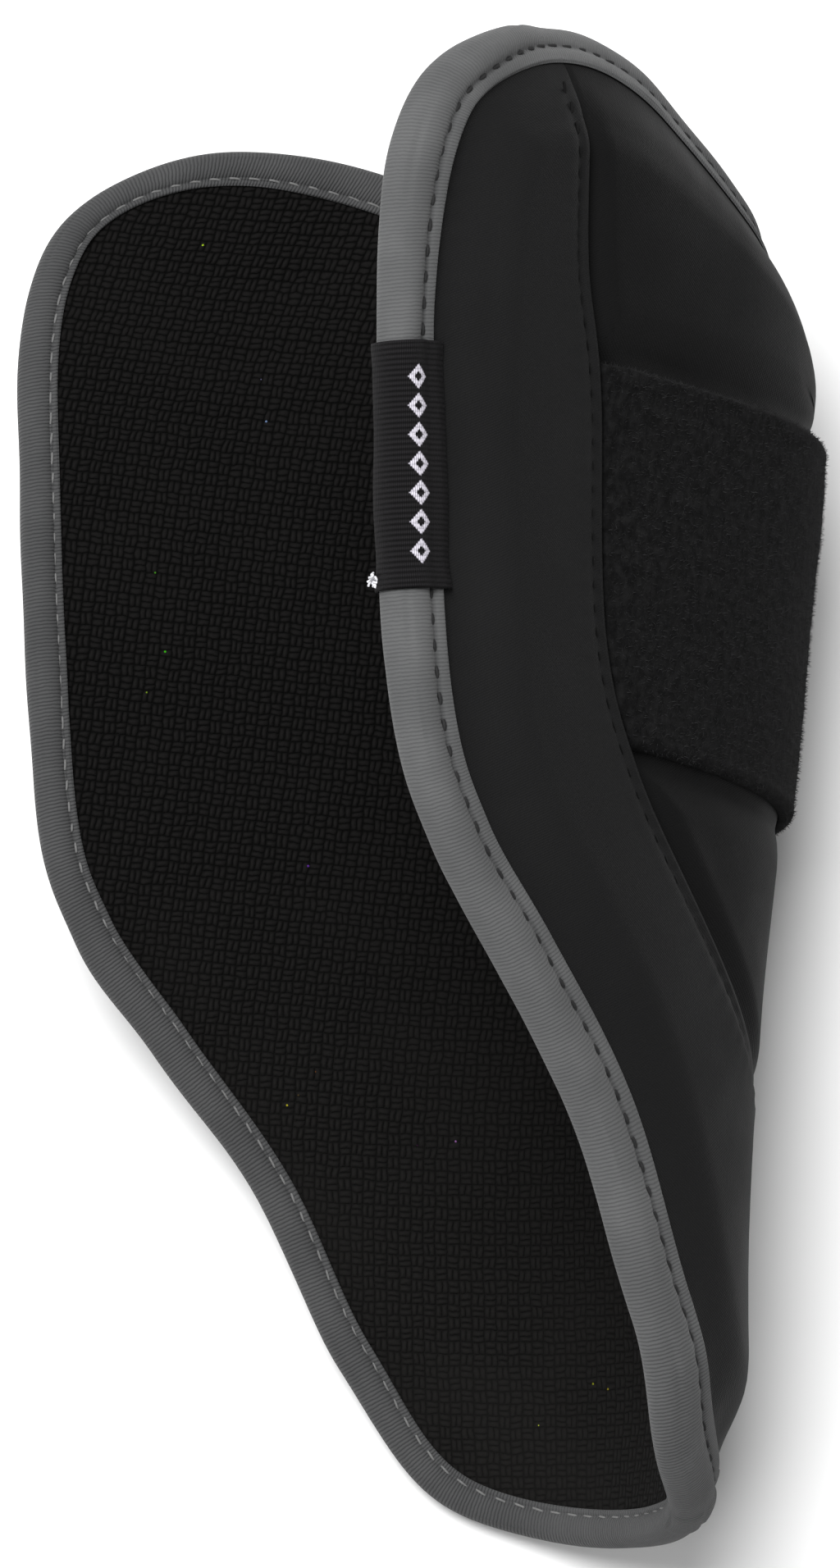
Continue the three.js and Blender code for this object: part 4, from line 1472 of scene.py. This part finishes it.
def made_by(tree, holder, name, settings):
    """Run a Geometry Nodes tree on an object and keep the result as a plain mesh."""
    modifier = holder.modifiers.new("maker", "NODES")
    modifier.node_group = tree
    for item in tree.interface.items_tree:
        if item.in_out == "INPUT" and item.name in settings:
            modifier[item.identifier] = settings[item.name]
    holder.update_tag()
    mesh = shape_of(holder)
    mesh.name = name
    holder.modifiers.remove(modifier)
    bpy.data.objects.remove(holder)
    mesh.calc_loop_triangles()
    print(name, "triangles:", len(mesh.loop_triangles))
    return linked(name, mesh)


def facing_of(places, rise):
    """Which way the cloth faces at flat places, in the frame."""
    _, outward = upright_point(places[..., 0], places[..., 1], rise)
    return laid(outward)


def stitch_row(name, slot, points, facing, closed, thread, **facts):
    """Sew one row along a path and give it its place in the frame; its slot is not used."""
    settings = {label.replace("_", " "): value for label, value in facts.items()}
    path = path_object(name + "_path", points, facing, closed)
    row = made_by(stitch_tree, path, name, {**settings, "Thread": thread.material})
    return dressed(row, None, None)


# %% Threads
def sewing_thread(name, dark, pale):
    finish = Finish(name, pale, 0.7, 0.1)
    twist = finish.noise(finish.place(), 2600.0, 2.0)
    finish.colour(finish.blend(twist, dark, pale))
    return finish


# Painted shade: the topstitch thread is black, painted darker still as the shade of its sunk stitch holes.
black_thread = sewing_thread("black_thread", (0.0015, 0.0015, 0.0015), (0.0035, 0.0035, 0.0035))
# Painted shade: the outer edge thread is painted dark grey as the shade of its sunk stitch holes; the
# thread itself is about the tape's grey.
charcoal_thread = sewing_thread("charcoal_thread", (0.012, 0.012, 0.0123), (0.028, 0.028, 0.0285))
grey_thread = sewing_thread("grey_thread", (0.09, 0.09, 0.09), (0.17, 0.17, 0.168))
print("threads:", black_thread.material.name, charcoal_thread.material.name, grey_thread.material.name)

# %% Stitching round the bound edge
def tape_path(inset, lift_or_rise, on_cover):
    places = tape_places + tape_inward * (inset * tape_widening(tape_places))[:, None]
    rise = float(pressed_rise(inset)) + lift_or_rise if on_cover else lift_or_rise
    facing = facing_of(places, rise)
    return shell(places, rise), facing if on_cover else -facing


stitch_row(
    "outer_edge_stitches", "ribbed_tape", *tape_path(*OUTER_STITCH_AT, True), True, charcoal_thread,
    Pitch=OUTER_PITCH * MM, Stitch_Length=0.0015, Thread_Width=0.00060, Dive=0.00014, Slant=0.06, Seed=11,
)
stitch_row(
    "inner_edge_stitches", "ribbed_tape", *tape_path(*INNER_STITCH_AT, False), True, grey_thread,
    Pitch=INNER_PITCH * MM, Stitch_Length=0.0017, Thread_Width=0.0004, Dive=0.00016, Slant=-0.10, Seed=12,
)

# %% Topstitching beside the seams
TOPSTITCH_STOP = 10.5
TOPSTITCH_LIFT = 0.12
TOPSTITCH_MARKS = np.arange(0, SEAM_LENGTH - TOPSTITCH_STOP, 1.0)


def topstitch_path():
    beside = square_to(way_along(SEAM_LINE, TOPSTITCH_MARKS)) * SEAM_STITCH_INSET
    places = read_line(SEAM_LINE, TOPSTITCH_MARKS) - beside
    places = places[places[:, 0] > 0]
    both = np.concatenate([places[::-1], places * MIRROR])
    rise = side_rise(both[:, None], np.zeros(len(both)))[:, 0] + TOPSTITCH_LIFT
    return shell(both, rise), facing_of(both, rise)


stitch_row(
    "seam_topstitches", "smooth_cover", *topstitch_path(), False, black_thread,
    Pitch=SEAM_STITCH_PITCH * MM, Stitch_Length=0.0024, Thread_Width=0.00045, Dive=0.00022,
    Slant=0.05, Seed=13,
)
print("topstitch pitch:", SEAM_STITCH_PITCH, "mm")

# %% [markdown]
# ## The folded label
# A short woven ribbon is folded over the bound edge of one flank and caught in its stitching.
# It is a sheet, bent once: its section is drawn a little outside the tape's, and a thin wall is
# given to it. What the ribbon shows is left generic here, a row of small woven lozenges.

# %% Label mesh
LABEL_LINE = (
    (8.95, 0.40), (8.45, 0.62), (7.9, 0.90), (7.2, 1.08), (6.3, 1.04), (5.4, 1.02), (4.6, 1.28),
    (3.6, 1.52), (2.6, 1.46), (1.7, 1.18),
)
LABEL_FOLD = (
    (0.75, 4.38), (0.0, 3.45), (-0.35, 2.2), (-0.28, 1.0), (0.10, -0.10), (0.80, -0.90),
    (1.80, -1.34), (3.20, -1.50), (4.80, -1.28), (6.00, -1.12), (7.20, -0.98), (7.90, -0.78),
)
MOTIF_INSET = 3.0
LABEL_WALL = 0.42
LABEL_HEART = (3.0, EDGE_THICKNESS / 2)
LABEL_GAPE = 0.35
LABEL_GAPE_WIDTH = 2.5
LABEL_STATIONS = 60
LABEL_STEPS = 4


def folded_label():
    cover_side = [
        (inset, float(pressed_rise(inset)) + float(padding(inset)) * (SIDE_PADDING - EDGE_THICKNESS) + lift)
        for inset, lift in LABEL_LINE
    ]
    section = catmull_rom(np.array(cover_side + list(LABEL_FOLD)), False, LABEL_STEPS)
    under = section + square_to(unit(np.gradient(section, axis=0))) * LABEL_WALL
    run = marks_of(section)
    bottom = mark_where(FLANK_LINE, FLANK_LINE[:, 1], LABEL_CENTRE - LABEL_LENGTH / 2)
    marks = bottom + np.linspace(0, LABEL_LENGTH, LABEL_STATIONS)
    places = read_line(FLANK_LINE, marks)
    inward = square_to(way_along(FLANK_LINE, marks, 1))
    to_end = np.minimum(marks - marks[0], marks[-1] - marks)
    gape = (LABEL_GAPE * hump(to_end, 0, LABEL_GAPE_WIDTH) + 0.10 * np.sin(marks / 2.9))[:, None]
    sheets = []
    for line in (section, under):
        away = unit(line - np.array(LABEL_HEART))
        local = line[None] + away[None] * gape[..., None]
        flat_place = places[:, None] + inward[:, None] * local[..., :1]
        sheets.append(shell(flat_place, local[..., 1]))
    flat = np.stack(np.broadcast_arrays((marks - bottom)[:, None], run[None]), -1)
    piece = closed_mesh("folded_woven_label", sheets[1], sheets[0], flat)
    shown = len(LABEL_LINE) * LABEL_STEPS
    motif_centre = float(np.interp(-MOTIF_INSET, -section[:shown, 0], run[:shown]))
    return piece, float(run[-1]), motif_centre


label, LABEL_RUN, MOTIF_CENTRE = folded_label()
print("label ribbon:", LABEL_LENGTH, "by", round(LABEL_RUN, 1), "mm, motif at", round(MOTIF_CENTRE, 1))

# %% Woven ribbon finish
LOZENGES = 7
LOZENGE_PITCH = 4.1
LOZENGE_HALF_LENGTH = 1.85
LOZENGE_HALF_WIDTH = 1.75
MOTIF_FADE = 0.205


def woven_ribbon():
    finish = Finish("woven_ribbon", (0.012, 0.011, 0.0125), 0.7, 0.12)
    _, along, across = finish.flat()
    rib = finish.wave(along, 0.75)
    weft = finish.wave(across, 0.30)
    from_middle = along - LABEL_LENGTH / 2
    in_pitch = finish.math("FLOORED_MODULO", from_middle + LOZENGE_PITCH / 2, LOZENGE_PITCH)
    side = abs(across - MOTIF_CENTRE) / LOZENGE_HALF_WIDTH
    length = abs(in_pitch - LOZENGE_PITCH / 2) / LOZENGE_HALF_LENGTH
    size = side + length + (weft - 0.5) * 0.12
    reach = LOZENGE_PITCH * LOZENGES / 2
    inside = finish.ramp(size, 0.92, 1.02, 1.0, 0.0) * finish.ramp(size, 0.36, 0.46)
    motif = inside * finish.ramp(abs(from_middle), reach - MOTIF_FADE, reach, 1.0, 0.0)
    finish.relief(rib + motif * 0.8, 0.00014)
    finish.relief(weft, 0.00006)
    # Painted shade: the ground is coloured darker between its ribs and the motif darker between its weft
    # picks, following the relief.
    ground = finish.blend(rib, (0.0018, 0.0017, 0.0019), (0.0072, 0.0066, 0.0074))
    pale = finish.blend(weft, (0.30, 0.28, 0.33), (0.62, 0.60, 0.66))
    finish.colour(finish.blend(motif, ground, pale))
    return finish


dressed(label, woven_ribbon(), "woven_label")
print("lozenges:", LOZENGES)

# %% [markdown]
# A tuft of white thread ends hangs from the lower corner of the label, where its stitching was
# cut. Each end is a short curve with a round bevel, turned into a mesh.

# %% Frayed thread ends
FRAY_STRANDS = 9
FRAY_POINTS = 9
FRAY_RADIUS = 0.00017
FRAY_TOP = 2.1


def frayed_ends():
    random = np.random.default_rng(5)
    bottom = mark_where(FLANK_LINE, FLANK_LINE[:, 1], LABEL_CENTRE - LABEL_LENGTH / 2)
    root = read_line(FLANK_LINE, np.array([bottom - 0.2]))
    data = bpy.data.curves.new("frayed_thread_ends", "CURVE")
    data.dimensions = "3D"
    data.bevel_depth = FRAY_RADIUS
    data.bevel_resolution = 2
    data.use_fill_caps = True
    for _ in range(FRAY_STRANDS):
        share = np.linspace(0, 1, FRAY_POINTS)
        drift = random.normal(0, 1, 3)
        curl = 0.45 * np.sin(share * 9 + drift[1]) * (1 - share * 0.5)
        inset = 0.4 - 1.3 * share - 0.5 * share * drift[0] + curl
        fall = share * (0.9 + 0.9 * drift[2])
        height = root[0, 1] + FRAY_TOP - fall + 0.4 * np.cos(share * 8 + drift[0])
        rise = 0.2 - 0.9 * share + 0.5 * np.sin(share * 6 + drift[2] * 3)
        points = shell(np.stack([root[0, 0] - inset, height], -1), rise)
        spline = data.splines.new("NURBS")
        spline.points.add(FRAY_POINTS - 1)
        spline.order_u = 4
        spline.use_endpoint_u = True
        for point, place in zip(spline.points, points):
            point.co = (*place, 1)
    holder = linked("frayed_curve", data)
    mesh = shape_of(holder)
    bpy.data.objects.remove(holder)
    mesh.shade_smooth()
    return linked("frayed_thread_ends", mesh)


white_thread = sewing_thread("white_thread", (0.45, 0.45, 0.47), (0.75, 0.75, 0.78))
dressed(frayed_ends(), white_thread, None)
print("frayed strands:", FRAY_STRANDS)

# %% [markdown]
# ## Brushed nap
# A brushed elastic is never clean in outline: loose fibres stand off its face. A second tree
# scatters short three-sided fibres over the strap, leans each at random and makes them real.
# They grow on its open face only, thicker along the long edges and not where it is caught.

# %% Geometry Nodes tree for the nap
def nap_tree():
    graph, take = new_graph(
        "brushed_nap", Fibres_per_Square_Metre=1.0e6, Fibre_Length=0.0007, Fibre_Width=0.00007,
        Lean=1.1, Seed=3, Fibre=None,
    )
    seed = take["Seed"]
    open_face = graph.get("GeometryNodeInputNamedAttribute", {"data_type": "FLOAT"}, Name="open_face")
    points, normal = graph.results(
        "GeometryNodeDistributePointsOnFaces",
        Mesh=take["Geometry"], Density=open_face * take["Fibres per Square Metre"], Seed=seed,
    )[:2]
    cone = graph.get(
        "GeometryNodeMeshCone", {"fill_type": "NONE"}, Vertices=3, Side_Segments=1,
        Radius_Top=0.0, Radius_Bottom=take["Fibre Width"], Depth=take["Fibre Length"],
    )
    wild = drawn(graph, "FLOAT_VECTOR", (-1, -1, -1), (1, 1, 1), seed)
    leaning = graph.math("MULTIPLY_ADD", wild, take["Lean"], normal, kind="ShaderNodeVectorMath")
    turn = graph.get("FunctionNodeAlignRotationToVector", {"axis": "Z"}, Vector=leaning)
    size = drawn(graph, "FLOAT", 0.4, 1.3, seed)
    return finish_graph(graph, spread(graph, points, cone, turn, size), take["Fibre"])


NAP_CLEAR = 0.0006
NAP_AT_EDGE = 1.6


ARM_MIDDLE = Vector((0.02, 0.03, 0.043))


def face_away(work):
    """Turn every face away from the arm, judged by the middle one."""
    work.faces.ensure_lookup_table()
    middle = work.faces[len(work.faces) // 2]
    if middle.normal.dot(middle.calc_center_median() - ARM_MIDDLE) < 0:
        bmesh.ops.reverse_faces(work, faces=work.faces)


def strap_face():
    """The strap's open face alone, with the weight that the nap follows."""
    mesh = plain_mesh("strap_face", strap_high, [], patch_quads(strap_high.shape[:2], 0))
    clear = ease(seam_distance(strap_places), 0.3, 2.0) * (strap_high[..., 2] > NAP_CLEAR)
    amount = clear * mix(NAP_AT_EDGE, 1.0, ease(strap_depth(strap_places), 0, 2))
    weight = mesh.attributes.new("open_face", "FLOAT", "POINT")
    weight.data.foreach_set("value", amount.astype(np.float32).ravel())
    reworked(mesh, face_away)
    return linked("strap_face", mesh)


fibre = Finish("loose_fibre", (0.012, 0.012, 0.0125), 0.9, 0.05)
shade = fibre.noise(fibre.place(), 900.0, 2.0)
fibre.colour(fibre.blend(shade, (0.005, 0.005, 0.005), (0.032, 0.032, 0.033)))
strap_nap = made_by(nap_tree(), strap_face(), "strap_nap", {
    "Fibres per Square Metre": 3.0e6, "Fibre Length": 0.0006, "Fibre Width": 0.00005,
    "Lean": 1.2, "Seed": 4, "Fibre": fibre.material,
})
dressed(strap_nap, None, None)
